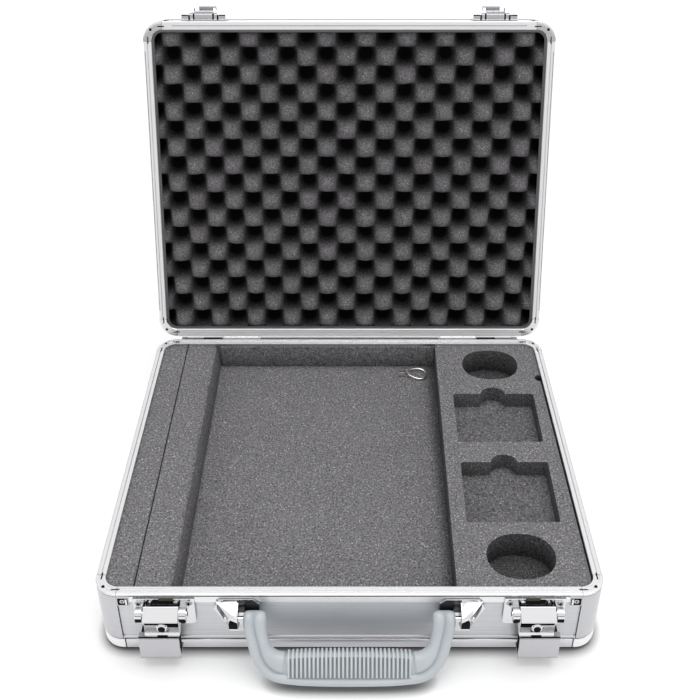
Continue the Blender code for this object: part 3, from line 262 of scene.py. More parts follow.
def foamFinish(name, colour, contrast, shadeRamp=None, lid=False, wallShade=1.0):
    # the ramp of painted shade: an axis, where along it the foam is darkest and lightest, and the shade at the dark
    # end
    made, tree, skin = startMaterial(name, {"Roughness": 0.96, "Specular IOR Level": 0.12})
    foam = placeGroup(tree, foamCells, Cells=foamLook["cells"])
    factor = calc(tree, "ADD", times(tree, foam["Shade"], contrast), 1.0)
    if lid:
        # painted shade: the pits between the bumps of the crate are darker the deeper they go
        level = newNode(tree, "VectorMath", {0: objectPlace(tree), 1: lidDepth}, operation="DOT_PRODUCT")["Value"]
        rim = case["hinge"].dot(lidDepth) + case["rimGap"] / 2
        factor = times(tree, factor, remap(tree, level, rim + foamLook["pitStart"], rim + foamLook["pitEnd"], 1.0,
                                           foamLook["pitShade"]))
    # painted shade that deepens along one axis
    if shadeRamp:
        axis, low, high, dark = shadeRamp
        level = newNode(tree, "SeparateXYZ", {0: objectPlace(tree)})[axis]
        factor = times(tree, factor, remap(tree, level, low, high, dark, 1.0, "SMOOTHSTEP"))
    # painted shade on the upright walls of the cut hollows
    if wallShade < 1:
        facing = newNode(tree, "NewGeometry")["True Normal"]
        upright = newNode(tree, "SeparateXYZ", {0: facing})["Z"]
        factor = times(tree, factor, remap(tree, upright, 0.2, 0.8, wallShade, 1.0))
    fillInputs(tree, skin, {"Base Color": shadeColour(tree, colour, factor),
                            "Normal": bumpFrom(tree, foam["Height"], 0.7, 0.0006)})
    return made


colour, contrast = foamLook["colour"], foamLook["contrast"]
# painted shade: the cut foam darkens low in its hollows, the block also on its cut walls, the floor towards the
# block's wall
finishes["foamTop"] = foamFinish("charcoal foam", colour, contrast, ("Z", 0.036, 0.058, 0.60))
finishes["foamBlock"] = foamFinish("charcoal cut foam", colour, contrast, ("Z", 0.036, 0.058, 0.62), wallShade=0.55)
finishes["foamFloor"] = foamFinish("charcoal floor foam", colour, contrast, ("X", 0.084, 0.070, 0.42))
finishes["foamLid"] = foamFinish("charcoal crate foam", foamLook["lidColour"], foamLook["lidContrast"], lid=True)
print("materials:", len(bpy.data.materials))


# Piece helpers

def addObject(name, data):
    made = bpy.data.objects.new(name, data)
    bpy.context.scene.collection.objects.link(made)
    return made


def meshFrom(name, shape):
    mesh = bpy.data.meshes.new(name)
    shape.to_mesh(mesh)
    shape.free()
    return mesh


def finishPiece(name, shape, finish, slot, stands, sharp=35, lid=False, bevel=0.0, pad=False, shaded=None):
    # its second finish and a test that picks the faces that wear it: painted shade on some pieces, painted light on
    # others
    if lid:
        bmesh.ops.rotate(shape, verts=shape.verts, cent=case["hinge"], matrix=Matrix.Rotation(case["opened"], 3, "X"))
    bmesh.ops.recalc_face_normals(shape, faces=shape.faces)
    if shaded:
        for face in shape.faces:
            face.material_index = int(shaded[1](face))
    mesh = meshFrom(name, shape)
    mesh.shade_smooth()
    mesh.set_sharp_from_angle(angle=math.radians(sharp))
    mesh.materials.append(finishes[finish])
    if shaded:
        mesh.materials.append(finishes[shaded[0]])
    made = addObject(name, mesh)
    if bevel:
        soft = made.modifiers.new("edges", "BEVEL")
        soft.width = bevel
        soft.segments = 2
        soft.limit_method = "ANGLE"
        soft.angle_limit = math.radians(30)
        soft.harden_normals = True
    body = nodes[stands]["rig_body"]
    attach(made, body)
    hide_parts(stands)


def cadCopy(node):
    # a CAD node's loose triangles, merged and with its flat faces joined up again
    shape = bmesh.new()
    shape.from_mesh(nodes[node].data)
    bmesh.ops.remove_doubles(shape, verts=shape.verts, dist=0.00002)
    bmesh.ops.dissolve_limit(shape, angle_limit=math.radians(1), verts=shape.verts, edges=shape.edges)
    return shape


def dress(node, part, shape, finish, slot="chrome", **looks):
    finishPiece(f"{node}_{part}", shape, finish, slot, node, **looks)


def dressNode(node, finish, slot="chrome", bevel=0.00025):
    dress(node, "dressed", cadCopy(node), finish, slot, bevel=bevel)


def boxShape(low, high, shape=None):
    shape = shape or bmesh.new()
    size = [b - a for a, b in zip(low, high)]
    middle = [(a + b) / 2 for a, b in zip(low, high)]
    bmesh.ops.create_cube(shape, size=1, matrix=Matrix.Translation(middle) @ Matrix.Diagonal((*size, 1)))
    return shape


def only(kind, made):
    return [item for item in made if isinstance(item, kind)]


def extrudeBy(shape, faces, travel):
    # returns the faces at the far end
    made = bmesh.ops.extrude_face_region(shape, geom=faces)["geom"]
    bmesh.ops.translate(shape, vec=travel, verts=only(BMVert, made))
    return only(BMFace, made)


def roundEdges(shape, edges, offset, segments, clamp=False):
    bmesh.ops.bevel(shape, geom=edges, offset=offset, offset_type="OFFSET", affect="EDGES", segments=segments,
                    profile=0.5, material=-1, clamp_overlap=clamp)


def drawnShape(outline, travel, shape=None):
    # a flat outline drawn straight along travel
    shape = shape or bmesh.new()
    extrudeBy(shape, [shape.faces.new([shape.verts.new(point) for point in outline])], travel)
    return shape


def addCone(target, at, low, high, depth, segments):
    # low and high are the radii at its ends
    bmesh.ops.create_cone(target, cap_ends=True, segments=segments, radius1=low, radius2=high, depth=depth, matrix=at)


def joinShapes(target, extra):
    # extra is added to target and freed
    mesh = meshFrom("part", extra)
    target.from_mesh(mesh)
    bpy.data.meshes.remove(mesh)


def arcPoints(centre, radius, start, end, steps):
    turns = [math.radians(start + (end - start) * step / steps) for step in range(steps + 1)]
    return [(centre[0] + radius * math.cos(t), centre[1] + radius * math.sin(t)) for t in turns]


# Frame of base and lid: sections as (inset from the outside, drop from the rim's face)

rail = {
    "width": 0.0076, "thickness": 0.0027, "lipDrop": 0.0085, "lipWall": 0.0009, "round": 0.0006,
    "faceGroove": 0.0012, "faceWidth": 0.0010, "topGrooves": (0.0026, 0.0050), "dent": 0.0003, "deepRound": 0.0016,
    "deepGrooves": (0.0037,), "deepDent": 0.0014, "grooveWidth": 0.0008, "grooveDepth": 0.0005, "capLip": 0.0024,
    "slotInset": 0.0041, "slotWidth": 0.0010, "slotBack": 0.0042, "slotReach": 0.0022, "lidLineFront": 0.0038,
    "lidLineSide": 0.0013, "lipReach": 0.0100, "lipDepth": 0.0022, "eyeInset": 0.0030, "eyeRadius": 0.0013,
}
wall = {
    "inset": 0.0012, "inside": 0.0055, "skirtHeight": 0.0168, "seamHeight": 0.0135, "edgeRadius": 0.0035,
    "foot": 0.012, "floor": 0.0045, "lowGapStart": 0.0010, "lowGap": 0.0009, "lift": 0.0014, "shadowStripInset": 0.0020,
}
# Tongue of a corner casting along each wall: a window in it shows the screw that holds it. The window, the joint at
# the casting's end and a gap down the lower band are dark blocks of painted shade
tongue = {
    "reach": 0.0090, "topDrop": 0.0028, "lowDrop": 0.0126, "windowStart": 0.0006, "windowEnd": 0.0083,
    "windowTop": 0.0047, "windowLow": 0.0118, "screw": 0.0040, "screwDrop": 0.0080, "screwRadius": 0.0025,
}


def railSection(lip=rail["lipDrop"], deep=False):
    # the side rails have one deep groove and a rounder outer edge, the others two faint lines
    r, w, depth = rail["deepRound"] if deep else rail["round"], rail["grooveWidth"], rail["grooveDepth"]
    tops, dent = (rail["deepGrooves"], rail["deepDent"]) if deep else (rail["topGrooves"], rail["dent"])
    face, faceWidth = max(rail["faceGroove"], r), rail["faceWidth"]
    section = [
        (rail["lipWall"], lip), (0.0002, lip), (0, lip - 0.0002), (0, face + faceWidth),
        (depth, face + faceWidth * 0.9), (depth, face + w * 0.1), (0, face), *arcPoints((r, r), r, 180, 270, 4),
    ]
    for top in tops:
        section += [(top, 0), (top + w * 0.1, dent), (top + w * 0.9, dent), (top + w, 0)]
    return section + [
        (rail["width"] - 0.0003, 0), (rail["width"], 0.0003), (rail["width"], rail["thickness"]),
        (rail["lipWall"], rail["thickness"]),
    ]


def panelSection(height):
    top, skirt = rail["thickness"] + case["joint"], height - wall["skirtHeight"]
    return [(wall["inside"], top), (wall["inset"], top), (wall["inset"], skirt), (wall["inside"], skirt)]


def lowEdge(height, lift):
    # from under the seam round the bottom edge to the inside
    r, low, floor = wall["edgeRadius"], height - lift, height - wall["floor"]
    return [(0, height - wall["seamHeight"] + 0.0009), *arcPoints((r, low - r), r, 180, 90, 8),
            (wall["foot"], low), (wall["foot"], floor), (wall["inside"], floor)]


def lowRailSection(height, lift):
    skirt, seam = height - wall["skirtHeight"], height - wall["seamHeight"]
    return [
        (wall["inside"], skirt), (0.0010, skirt), (0.0006, skirt + 0.0004), (0.0006, seam - 0.0006),
        (0.0011, seam - 0.0003), (0.0011, seam + 0.0003), (0.0002, seam + 0.0006), *lowEdge(height, lift),
    ]


def cornerLowSection(height, lift):
    seam = height - wall["seamHeight"]
    return [(wall["inside"], seam - 0.0003), (0.0011, seam - 0.0003), (0.0011, seam + 0.0003),
            (0.0003, seam + 0.0005), *lowEdge(height, lift)]


def cornerBodySection(height):
    seam, top = height - wall["seamHeight"], rail["capLip"] + case["joint"]
    under = rail["thickness"] + case["joint"]
    return [
        (wall["inside"], under), (0.0012, under), (0.0003, top), (0, top + 0.0003), (0, seam - 0.0007),
        (0.0004, seam - 0.0003), (wall["inside"], seam - 0.0003),
    ]


def stripSection(insetLow, insetHigh, dropLow, dropHigh):
    return [(insetLow, dropLow), (insetLow, dropHigh), (insetHigh, dropHigh), (insetHigh, dropLow)]


def seamSection(height):
    seam = height - wall["seamHeight"]
    return stripSection(0.0005, 0.0014, seam - 0.0004, seam + 0.0004)


# a flange inside the lid's rail, dark with painted shade
def lipShadeSection():
    start, end, drop = rail["width"] - 0.0004, rail["lipReach"], rail["lipDepth"]
    return [(start, drop), (end, drop + 0.0003), (end, drop + 0.0008), (start, drop + 0.0006)]


def shadowStripSection(height):
    # a dark strip set back under the lower rail: painted contact shadow where the base meets the floor
    return stripSection(wall["shadowStripInset"], wall["foot"], height - wall["lift"] - 0.0010, height)


def runSection(section, side, level, start, end):
    # a straight run of the frame: the section faces along the wall and is drawn from start to end
    sign = -1 if side in ("left", "front") else 1
    if side in ("front", "back"):
        return drawnShape([(start, sign * (case["back"] - i), level(d)) for i, d in section], (end - start, 0, 0))
    return drawnShape([(sign * (case["side"] - i), start, level(d)) for i, d in section], (0, end - start, 0))


def turnSection(section, level, signX, signY, reach=0.0):
    # the section turned a quarter round a corner, with a straight end of that reach on both sides
    r = case["cornerRadius"]
    shape = bmesh.new()
    faces = [shape.faces.new([shape.verts.new((i - r, -reach, level(d))) for i, d in section])]
    if reach:
        faces = extrudeBy(shape, faces, (0, reach, 0))
    made = bmesh.ops.spin(shape, geom=faces, cent=(0, 0, 0), axis=(0, 0, -1), angle=math.pi / 2,
                          steps=case["cornerSteps"], use_merge=False)
    if reach:
        extrudeBy(shape, only(BMFace, made["geom_last"]), (reach, 0, 0))
    bmesh.ops.scale(shape, verts=shape.verts, vec=(-signX, signY, 1))
    bmesh.ops.translate(shape, verts=shape.verts, vec=(signX * (case["side"] - r), signY * (case["back"] - r), 0))
    return shape


def cornerEye(level, signX, signY):
    # the small opening at the elbow of a cap, a dark disc of painted shade
    r, eye = case["cornerRadius"], rail["eyeRadius"]
    inset = r - (r - rail["eyeInset"]) / math.sqrt(2)
    place = (signX * (case["side"] - inset), signY * (case["back"] - inset), level(0.0005))
    shape = bmesh.new()
    addCone(shape, Matrix.Translation(place), eye, eye, 0.0012, 12)
    return shape


def crossScrew(heads, slots, place, out, radius):
    # a shallow domed head facing out, with a cross cut in it shown as two thin dark bars of painted shade
    turn = Vector((0, 0, 1)).rotation_difference(Vector(out)).to_matrix().to_4x4()
    at = Matrix.Translation(place) @ turn
    addCone(heads, at, radius, radius * 0.72, radius * 0.3, 20)
    for wide, high in ((1.15, 0.28), (0.28, 1.15)):
        bar = Matrix.Diagonal((radius * wide, radius * high, radius * 0.1, 1))
        bmesh.ops.create_cube(slots, size=1, matrix=at @ Matrix.Translation((0, 0, radius * 0.12)) @ bar)


def addTongue(pieces, height, level, signX, signY, across):
    casting, shadowBlocks, screws, slots, bars = pieces
    r = case["cornerRadius"]

    def place(far, inset, drop):
        # far is measured from the corner casting's end along the wall
        x, y = (r + far, inset) if across else (inset, r + far)
        return Vector((signX * (case["side"] - x), signY * (case["back"] - y), level(drop)))

    def block(target, farLow, farHigh, insetLow, insetHigh, dropLow, dropHigh):
        ends = list(zip(place(farLow, insetLow, dropLow), place(farHigh, insetHigh, dropHigh)))
        boxShape([min(pair) for pair in ends], [max(pair) for pair in ends], target)

    start, end, top, low = tongue["windowStart"], tongue["windowEnd"], tongue["windowTop"], tongue["windowLow"]
    gap, gapEnd = wall["lowGapStart"], wall["lowGapStart"] + wall["lowGap"]
    skirt, seam = height - wall["skirtHeight"], height - wall["seamHeight"]
    block(casting, -0.0002, tongue["reach"], 0.0003, 0.0030, tongue["topDrop"], tongue["lowDrop"])
    block(shadowBlocks, start, end, 0.0002, 0.0010, top, low)
    block(screws, end - 0.0022, end - 0.0007, 0.0001, 0.0010, top + 0.0007, low - 0.0004)
    # a dark bar on the rim beside the casting: painted shade in a slot
    block(bars, -rail["slotBack"], rail["slotReach"], rail["slotInset"], rail["slotInset"] + rail["slotWidth"],
          -0.00004, 0.0006)
    block(shadowBlocks, -0.0003, 0.0002, 0.0002, 0.0020, tongue["lowDrop"], seam)
    block(casting, 0.0002, gapEnd, 0.0004, 0.0050, skirt, seam - 0.0003)
    block(shadowBlocks, gap, gapEnd + 0.0002, 0.0004, 0.0040, seam, height - 0.0030)
    out = (0, signY, 0) if across else (signX, 0, 0)
    crossScrew(screws, slots, place(tongue["screw"], 0.0005, tongue["screwDrop"]), out, tongue["screwRadius"])


def sideLines(side, height, run, lid):
    # one side's dark lines: painted shade in the rail's face groove and in the seam above the lower rail, and a dark
    # line on the lid's rim
    end = case["cornerRadius"] + tongue["reach"] + case["joint"]
    shape = run(stripSection(0.0001, 0.0006, rail["faceGroove"], rail["faceGroove"] + rail["faceWidth"]), end)
    joinShapes(shape, run(seamSection(height), case["cornerRadius"]))
    if lid and side != "back":
        start = rail["lidLineFront"] if side == "front" else rail["lidLineSide"]
        joinShapes(shape, run(stripSection(start, start + 0.0004, -0.00003, 0.0004), end))
    return shape


def makeFrame(body, height, level, lid):
    def put(name, shape, finish, slot, node):
        finishPiece(f"{body}_{name}", shape, finish, slot, f"{body}_{node}", lid=lid)

    r, joint = case["cornerRadius"], case["joint"]
    lift = 0 if lid else wall["lift"]
    # inside the lid's rail a flange in painted shade, under the base's lower rail a strip of painted contact shadow
    edge, edgeSection, edgeFinish = ("lip", lipShadeSection(), "lip") if lid else ("shadowStrip", shadowStripSection(height), "dark")
    end, lowEnd = r + tongue["reach"] + joint, r + wall["lowGapStart"] + wall["lowGap"]
    for side in ("front", "back", "left", "right"):
        deep = side in ("left", "right")
        word = ("LidDeep" if lid else "Deep") if deep else "Across"
        reach = case["back"] if deep else case["side"]
        rim, sheet = f"rim_{side}", f"wall_{side}"

        def run(section, inset):
            return runSection(section, side, level, inset - reach, reach - inset)

        bars = run(railSection(deep=deep), end)
        for start, stop in ((r + joint - reach, end - reach), (reach - end, reach - r - joint)):
            joinShapes(bars, runSection(railSection(rail["capLip"], deep), side, level, start, stop))
        put(f"rail_{side}", bars, ("lidRail" if lid else "rail") + word, "rail", rim)
        put(f"lines_{side}", sideLines(side, height, run, lid), "dark", "rail", rim)
        put(f"{edge}_{side}", run(edgeSection, r), edgeFinish, "rail", rim if lid else sheet)
        put(f"sheet_{side}", run(panelSection(height), r), "panel" + word, "panel", sheet)
        put(f"low_rail_{side}", run(lowRailSection(height, lift), lowEnd), "lowRail" + word, "rail", sheet)
    for signX, signY in ((-1, -1), (1, -1), (-1, 1), (1, 1)):
        word = ("back" if signY > 0 else "front") + "_" + ("right" if signX > 0 else "left")
        node = f"corner_{word}"

        def turn(section, reach=0.0):
            return turnSection(section, level, signX, signY, reach)

        put(f"cap_{word}", turn(railSection(rail["capLip"])), "cap", "corner", node)
        casting = turn(cornerBodySection(height))
        shadowBlocks, screws, slots, bars = (bmesh.new() for _ in range(4))
        for across in (True, False):
            addTongue((casting, shadowBlocks, screws, slots, bars), height, level, signX, signY, across)
        joinShapes(bars, cornerEye(level, signX, signY))
        joinShapes(bars, turn(seamSection(height)))
        put(f"cap_slots_{word}", bars, "dark", "corner", node)
        put(f"{edge}_{word}", turn(edgeSection), edgeFinish, "rail", node)
        for part, shape, finish in (("casting", casting, "cast"), ("casting_windows", shadowBlocks, "dark"),
                                    ("casting_screws", screws, "chrome"), ("screw_slots", slots, "dark")):
            put(f"{part}_{word}", shape, finish, "corner", node)
        # the base's lower casting wears the lighter copy of the casting metal: painted light
        put(f"low_casting_{word}", turn(cornerLowSection(height, lift), wall["lowGapStart"]),
            "cap" if lid else "brightenedLowCast", "corner", node)


makeFrame("base", case["height"], baseLevel, False)
makeFrame("lid", case["lidHeight"], lidLevel, True)
for node in ("base_panel", "lid_panel"):
    dressNode(node, "panelAcross", "panel")

# Behind the base's back rim a narrow spine closes the gap to the open lid, between the hinges and beside them. Its
# front strip and the strips in the gaps beside the hinges are dark: painted shade
spine = {
    "runs": ((-0.168, -0.1275), (-0.0895, 0.0895), (0.1275, 0.168)), "start": 0.0002, "line": 0.0011, "end": 0.0045,
    "drop": 0.0004, "depth": 0.006, "gaps": ((-0.1460, -0.1275), (0.1275, 0.1460)), "gapWidth": 0.0030,
}


def spineBox(shape, left, right, near, far, drop):
    near, far = case["back"] + near, case["back"] + far
    boxShape((left, near, baseLevel(spine["depth"])), (right, far, baseLevel(drop)), shape)


spineDark, spineLight = bmesh.new(), bmesh.new()
for left, right in spine["runs"]:
    spineBox(spineDark, left, right, spine["start"], spine["line"], spine["drop"])
    spineBox(spineLight, left, right, spine["line"], spine["end"], spine["drop"] + 0.0002)
for left, right in spine["gaps"]:
    spineBox(spineDark, left, right, spine["line"], spine["gapWidth"], spine["drop"])
finishPiece("base_spine_gap", spineDark, "dark", "rail", "base_rim_back")
finishPiece("base_spine", spineLight, "cap", "rail", "base_rim_back")
print("frame made")

# Foam in the base
blockGap = {"from": 0.094, "width": 0.0015, "start": 0.1768, "ease": 0.006}
for node, finish in (("foam_floor", "foamFloor"), ("foam_strip_left", "foamTop"), ("foam_strip_second", "foamTop"),
                     ("foam_liner_back", "foamTop"), ("foam_block_right", "foamBlock")):
    shape = cadCopy(node)
    if node == "foam_block_right":
        # in front of its notch the block stops short of the rim and leaves a dark gap
        for vert in shape.verts:
            if vert.co.y < blockGap["from"]:
                vert.co.x -= blockGap["width"] * min(max((vert.co.x - blockGap["start"]) / blockGap["ease"], 0), 1)
    dress(node, "cut", shape, finish, "foam", bevel=0.0009, pad=True)

# Crate foam in the lid: blunt square bumps on a chequered grid
crate = {
    "pitchX": 0.018, "pitchY": 0.01738, "peakX": -0.1676, "peakY": 0.1358, "peakDrop": 0.0032, "pitDrop": 0.0225,
    "bluntness": 0.52, "droop": 0.0052, "perCell": 12, "corner": 0.0122, "inset": 0.0058, "backDrop": 0.0332,
    "shift": 0.0020, "spread": 0.003, "pullFrom": -0.03, "pull": 0.025, "jitterPace": 60, "jitterShift": 0.0012,
    "jitterHeight": 0.0008,
}


def crateFoam():
    left, right = crate["inset"] - case["side"], case["side"] - crate["inset"]
    near, far = case["front"] + crate["inset"], case["back"] - crate["inset"]
    across = round((right - left) / crate["pitchX"] * crate["perCell"])
    deep = round((far - near) / crate["pitchY"] * crate["perCell"])
    shape = bmesh.new()
    at = Matrix.Translation(((left + right) / 2, (near + far) / 2, 0))
    bmesh.ops.create_grid(shape, x_segments=across, y_segments=deep, size=0.5,
                          matrix=at @ Matrix.Diagonal((right - left, far - near, 1, 1)))
    middle = (crate["peakDrop"] + crate["pitDrop"]) / 2
    swing = (crate["pitDrop"] - crate["peakDrop"]) / 2
    corner = crate["corner"]
    for vert in shape.verts:
        x, y = vert.co.x, vert.co.y
        jitter = noise.noise(Vector((x * crate["jitterPace"], y * crate["jitterPace"], 3.1)))
        nudge = jitter * crate["jitterShift"]
        # the sheet sits a little off the pitch and is pulled wider towards the right
        past = x - crate["pullFrom"]
        off = crate["shift"] + crate["spread"] * past + crate["pull"] * max(0, past)
        wave = math.cos(math.pi * (x - off - crate["peakX"] + nudge) / crate["pitchX"])
        wave *= math.cos(math.pi * (y - crate["peakY"] - nudge) / crate["pitchY"])
        blunt = math.copysign(abs(wave) ** crate["bluntness"], wave)
        vert.co.z = lidLevel(middle - swing * blunt + jitter * crate["jitterHeight"])
        y = min(y + crate["droop"] * (blunt + 1) / 2, far)          # the bumps hang a little in the open lid
        vert.co.y = y
        cornerX = min(max(x, left + corner), right - corner)
        cornerY = min(max(y, near + corner), far - corner)
        away = Vector((x - cornerX, y - cornerY))
        if away.length > corner:
            away *= corner / away.length
            vert.co.x, vert.co.y = cornerX + away.x, cornerY + away.y
    edges = [edge for edge in shape.edges if edge.is_boundary]
    made = bmesh.ops.extrude_edge_only(shape, edges=edges)["geom"]
    for vert in only(BMVert, made):
        vert.co.z = lidLevel(crate["backDrop"])
    bmesh.ops.contextual_create(shape, geom=[edge for edge in only(BMEdge, made) if edge.is_boundary])
    return shape


dress("foam_lid", "crate", crateFoam(), "foamLid", "foam", sharp=80, lid=True, pad=True)
print("foam made")

# Latches: out is measured from the front of the base, x from the latch's middle towards the case's middle
latch = {
    "middle": 0.1370, "catchMiddle": 0.1340, "shift": 0.0015, "pivotOut": 0.0076, "pivotHeight": 0.0524,
    # the plate with its knuckles and screws; an opening is a dark box of painted shade, (x from, x to, height from,
    # height to, how far proud)
    "plateBack": 0.0003, "plateOut": 0.0015, "plateHalf": 0.02275, "plateLow": 0.0335, "plateTop": 0.0610,
    "plateRound": 0.003, "knuckle": 0.0046, "knuckleWidth": 0.0052, "knuckleGap": 0.0004, "pinRadius": 0.0024,
    "eyeRadius": 0.0017, "screw": 0.0187, "screwHeight": 0.0563, "screwRadius": 0.0029, "openings": (
        (-0.0132, -0.0118, 0.0546, 0.0585, 0.0002), (-0.0095, -0.0081, 0.0546, 0.0585, 0.0002),
        (0.0105, 0.0119, 0.0546, 0.0585, 0.0002), (-0.0073, 0.0073, 0.0560, 0.0592, 0.0003),
        (-0.0073, -0.0035, 0.0592, 0.0608, 0.0003)),
    "seat": (-0.0035, 0.0073, 0.0592, 0.0610, 0.0002),
    # the lever with its pull and the lock in it
    "leverHalf": 0.0131, "flapLow": 0.0495, "lowShift": 0.0040, "lowHalf": 0.0150, "frontOut": 0.0150,
    "ledge": 0.0340, "bottom": 0.0116, "lockHeight": 0.0402, "faceOut": 0.0106, "ringRadius": 0.0036,
    "keyhole": 0.0027,
}
leverSection = [   # out, height
    (0.0045, 0.0360), (0.0045, 0.0490), (0.0030, 0.0540), (0.0042, 0.0566), (0.0054, 0.0575), (0.0141, 0.0512),
    (0.0143, 0.0503), (0.0136, 0.0497), (0.0112, 0.0500), (0.0106, 0.0486), (0.0106, 0.0352), (0.0126, 0.0338),
    (0.0090, 0.0330),
]
# Painted shade in dark slots on the rim side of a lid catch (x from its middle, x to, out from, out to) and in the
# gap behind it
catch = {
    "slots": ((0.0142, 0.0202, 0.0046, 0.0056), (0.0124, 0.0138, 0.0006, 0.0054), (0.0082, 0.0096, 0.0014, 0.0066)),
    "slotDrop": (0.0034, 0.0040), "gap": (-0.0080, 0.0080, 0.0014, 0.0020), "gapDrop": (0.0038, 0.0042),
}


def frontBox(target, left, right, outLow, outHigh, low, high):
    # a box in front of the base, its left and right in any order
    left, right = sorted((left, right))
    return boxShape((left, case["front"] - outHigh, low), (right, case["front"] - outLow, high), target)


def latchBlock(target, side, start, end, *rest, middle=latch["middle"]):
    # the same, measured from a middle towards the case's middle
    return frontBox(target, side * (middle - start), side * (middle - end), *rest)


def roundRod(target, left, right, out, z, radius, segments=24):
    at = Matrix.Translation(((left + right) / 2, case["front"] - out, z)) @ Matrix.Rotation(math.pi / 2, 4, "Y")
    addCone(target, at, radius, radius, right - left, segments)


def latchPlate(node, side, lever, outer):
    out, width = latch["plateOut"], latch["knuckleWidth"]
    pivotOut, pivotHeight, knuckle = latch["pivotOut"], latch["pivotHeight"], latch["knuckle"]

    def window(target, start, end, low, high, proud):
        return latchBlock(target, side, start, end, out - 0.0005, out + proud, low, high)

    plate, screws, dark = bmesh.new(), bmesh.new(), bmesh.new()
    latchBlock(plate, side, -latch["plateHalf"], latch["plateHalf"], latch["plateBack"], out, latch["plateLow"],
               latch["plateTop"])
    uprights = [e for e in plate.edges if abs(e.verts[0].co.y - e.verts[1].co.y) > 0.001 and e.verts[0].co.z < 0.04]
    roundEdges(plate, uprights, latch["plateRound"], 3)
    for start in (lever - outer, lever + outer - width):
        end = start + width
        roundRod(plate, start, end, pivotOut, pivotHeight, knuckle, 32)
        frontBox(plate, start, end, out, pivotOut, pivotHeight - knuckle * 0.9, pivotHeight + knuckle * 0.8)
        # a dark rod just under each knuckle: painted shade
        roundRod(dark, start + 0.0003, end - 0.0003, pivotOut + 0.0006, pivotHeight - 0.0019, knuckle * 0.96, 32)
    dress(node, "chrome", plate, "chrome", bevel=0.0003)
    for x in (-latch["screw"], latch["screw"]):
        place = (side * (latch["middle"] - x), case["front"] - out - 0.0002, latch["screwHeight"])
        crossScrew(screws, dark, place, (0, -1, 0), latch["screwRadius"])
    dress(node, "screws", screws, "screw")
    # dark boxes of painted shade in the plate's openings
    for opening in latch["openings"]:
        window(dark, *opening)
    dress(node, "openings", dark, "dark")
    dress(node, "seat", window(None, *latch["seat"]), "olive")


def latchPin(node, lever, outer):
    at = latch["pivotOut"], latch["pivotHeight"]
    pin, eyes = bmesh.new(), bmesh.new()
    roundRod(pin, lever - outer - 0.0009, lever + outer + 0.0009, *at, latch["pinRadius"])
    # dark discs of painted shade at the pin's ends
    roundRod(eyes, lever - outer - 0.0010, lever - outer - 0.0004, *at, latch["eyeRadius"])
    roundRod(eyes, lever + outer + 0.0004, lever + outer + 0.0010, *at, latch["eyeRadius"])
    dress(node, "steel", pin, "chrome", bevel=0.0003)
    dress(node, "eyes", eyes, "dark")


def latchLever(node, side, lever):
    half, front, ledge, bottom = latch["leverHalf"], latch["frontOut"], latch["ledge"], latch["bottom"]

    def block(target, half, *rest):
        return latchBlock(target, side, -half, half, *rest, middle=latch["middle"] + latch["lowShift"])

    flap = drawnShape([(lever - half, case["front"] - out, z) for out, z in leverSection], (2 * half, 0, 0))
    # below the flap the lever's face wears a lighter finish: painted light
    dress(node, "flap", flap, "flap", "latch", bevel=0.0003,
          shaded=("cap", lambda face: face.calc_center_median().z < latch["flapLow"]))
    half = latch["lowHalf"]
    pull = block(None, half, front - 0.0018, front, bottom, ledge)
    block(pull, half, 0.0022, front, bottom, bottom + 0.0014)
    block(pull, half, 0.0090, front, ledge - 0.0014, ledge)
    # the pull wears the darker copy of the plating: painted shade
    dress(node, "pull", pull, "latch", "latch", bevel=0.0002)
    # painted shade: dark blocks inside the pull, in the slot on its ledge and along the top of the lever's face
    inside = block(None, half - 0.0012, 0.0026, front - 0.0016, bottom + 0.0012, ledge - 0.0012)
    latchBlock(inside, side, -0.0038, 0.0038, 0.0104, 0.0143, ledge - 0.0006, ledge + 0.0002,
               middle=latch["middle"] + 0.0011)
    for start, low, high in ((-0.0124, 0.0436, 0.0462), (0.0040, 0.0412, 0.0450)):
        latchBlock(inside, side, start, 0.0124, 0.0100, 0.0108, low, high, middle=latch["middle"] + latch["shift"])
    dress(node, "inside", inside, "dark", "latch")


def lockPlug(node, lever):
    radius = latch["ringRadius"]
    at = Matrix.Translation((lever, case["front"] - latch["faceOut"] - 0.0006, latch["lockHeight"]))
    at = at @ Matrix.Rotation(math.pi / 2, 4, "X")
    ring, core = bmesh.new(), bmesh.new()
    addCone(ring, at, radius + 0.0010, radius, 0.0012, 28)
    # the keyhole is a dark disc of painted shade
    addCone(core, at @ Matrix.Translation((0, 0, 0.0005)), latch["keyhole"], latch["keyhole"], 0.0006, 28)
    dress(node, "ring", ring, "chrome", bevel=0.0002)
    dress(node, "keyhole", core, "dark")


def catchShade(side):
    # painted shade in the catch's slots and in the gap behind it
    shape = bmesh.new()

    def block(start, end, outLow, outHigh, drops):
        latchBlock(shape, side, start, end, outLow, outHigh, *[lidLevel(drop) for drop in drops],
                   middle=latch["catchMiddle"])

    for start, end, *outs in catch["slots"]:
        for way in (-1, 1):
            block(way * start, way * end, *outs, catch["slotDrop"])
    block(*catch["gap"], catch["gapDrop"])
    return shape


# Handle brackets: the plate is divided at the boss's inner side and at a level above its low end; the part inside and
# above gets painted shade
bracket = {
    "divide": 0.0828, "level": 0.0462, "facet": (0.0822, 0.0884), "facetOut": (0.0112, 0.0134),
    "window": (0.0428, 0.0482), "rim": (0.0412, 0.0426),
}


def bracketShade(face):
    # the boss's cheek towards the handle, its low outer cheek and the plate behind the handle's end get painted shade
    middle = face.calc_center_median()
    boss = middle.y < case["front"] - 0.004
    outwards = face.normal.x * math.copysign(1, middle.x)
    cheek = boss and (outwards < -0.9 or (outwards > 0.3 and face.normal.z < -0.2))
    inner = abs(middle.x) < bracket["divide"] and middle.z > bracket["level"]
    return cheek or (inner and not boss and middle.y < case["front"] - 0.001 and face.normal.y < -0.9)


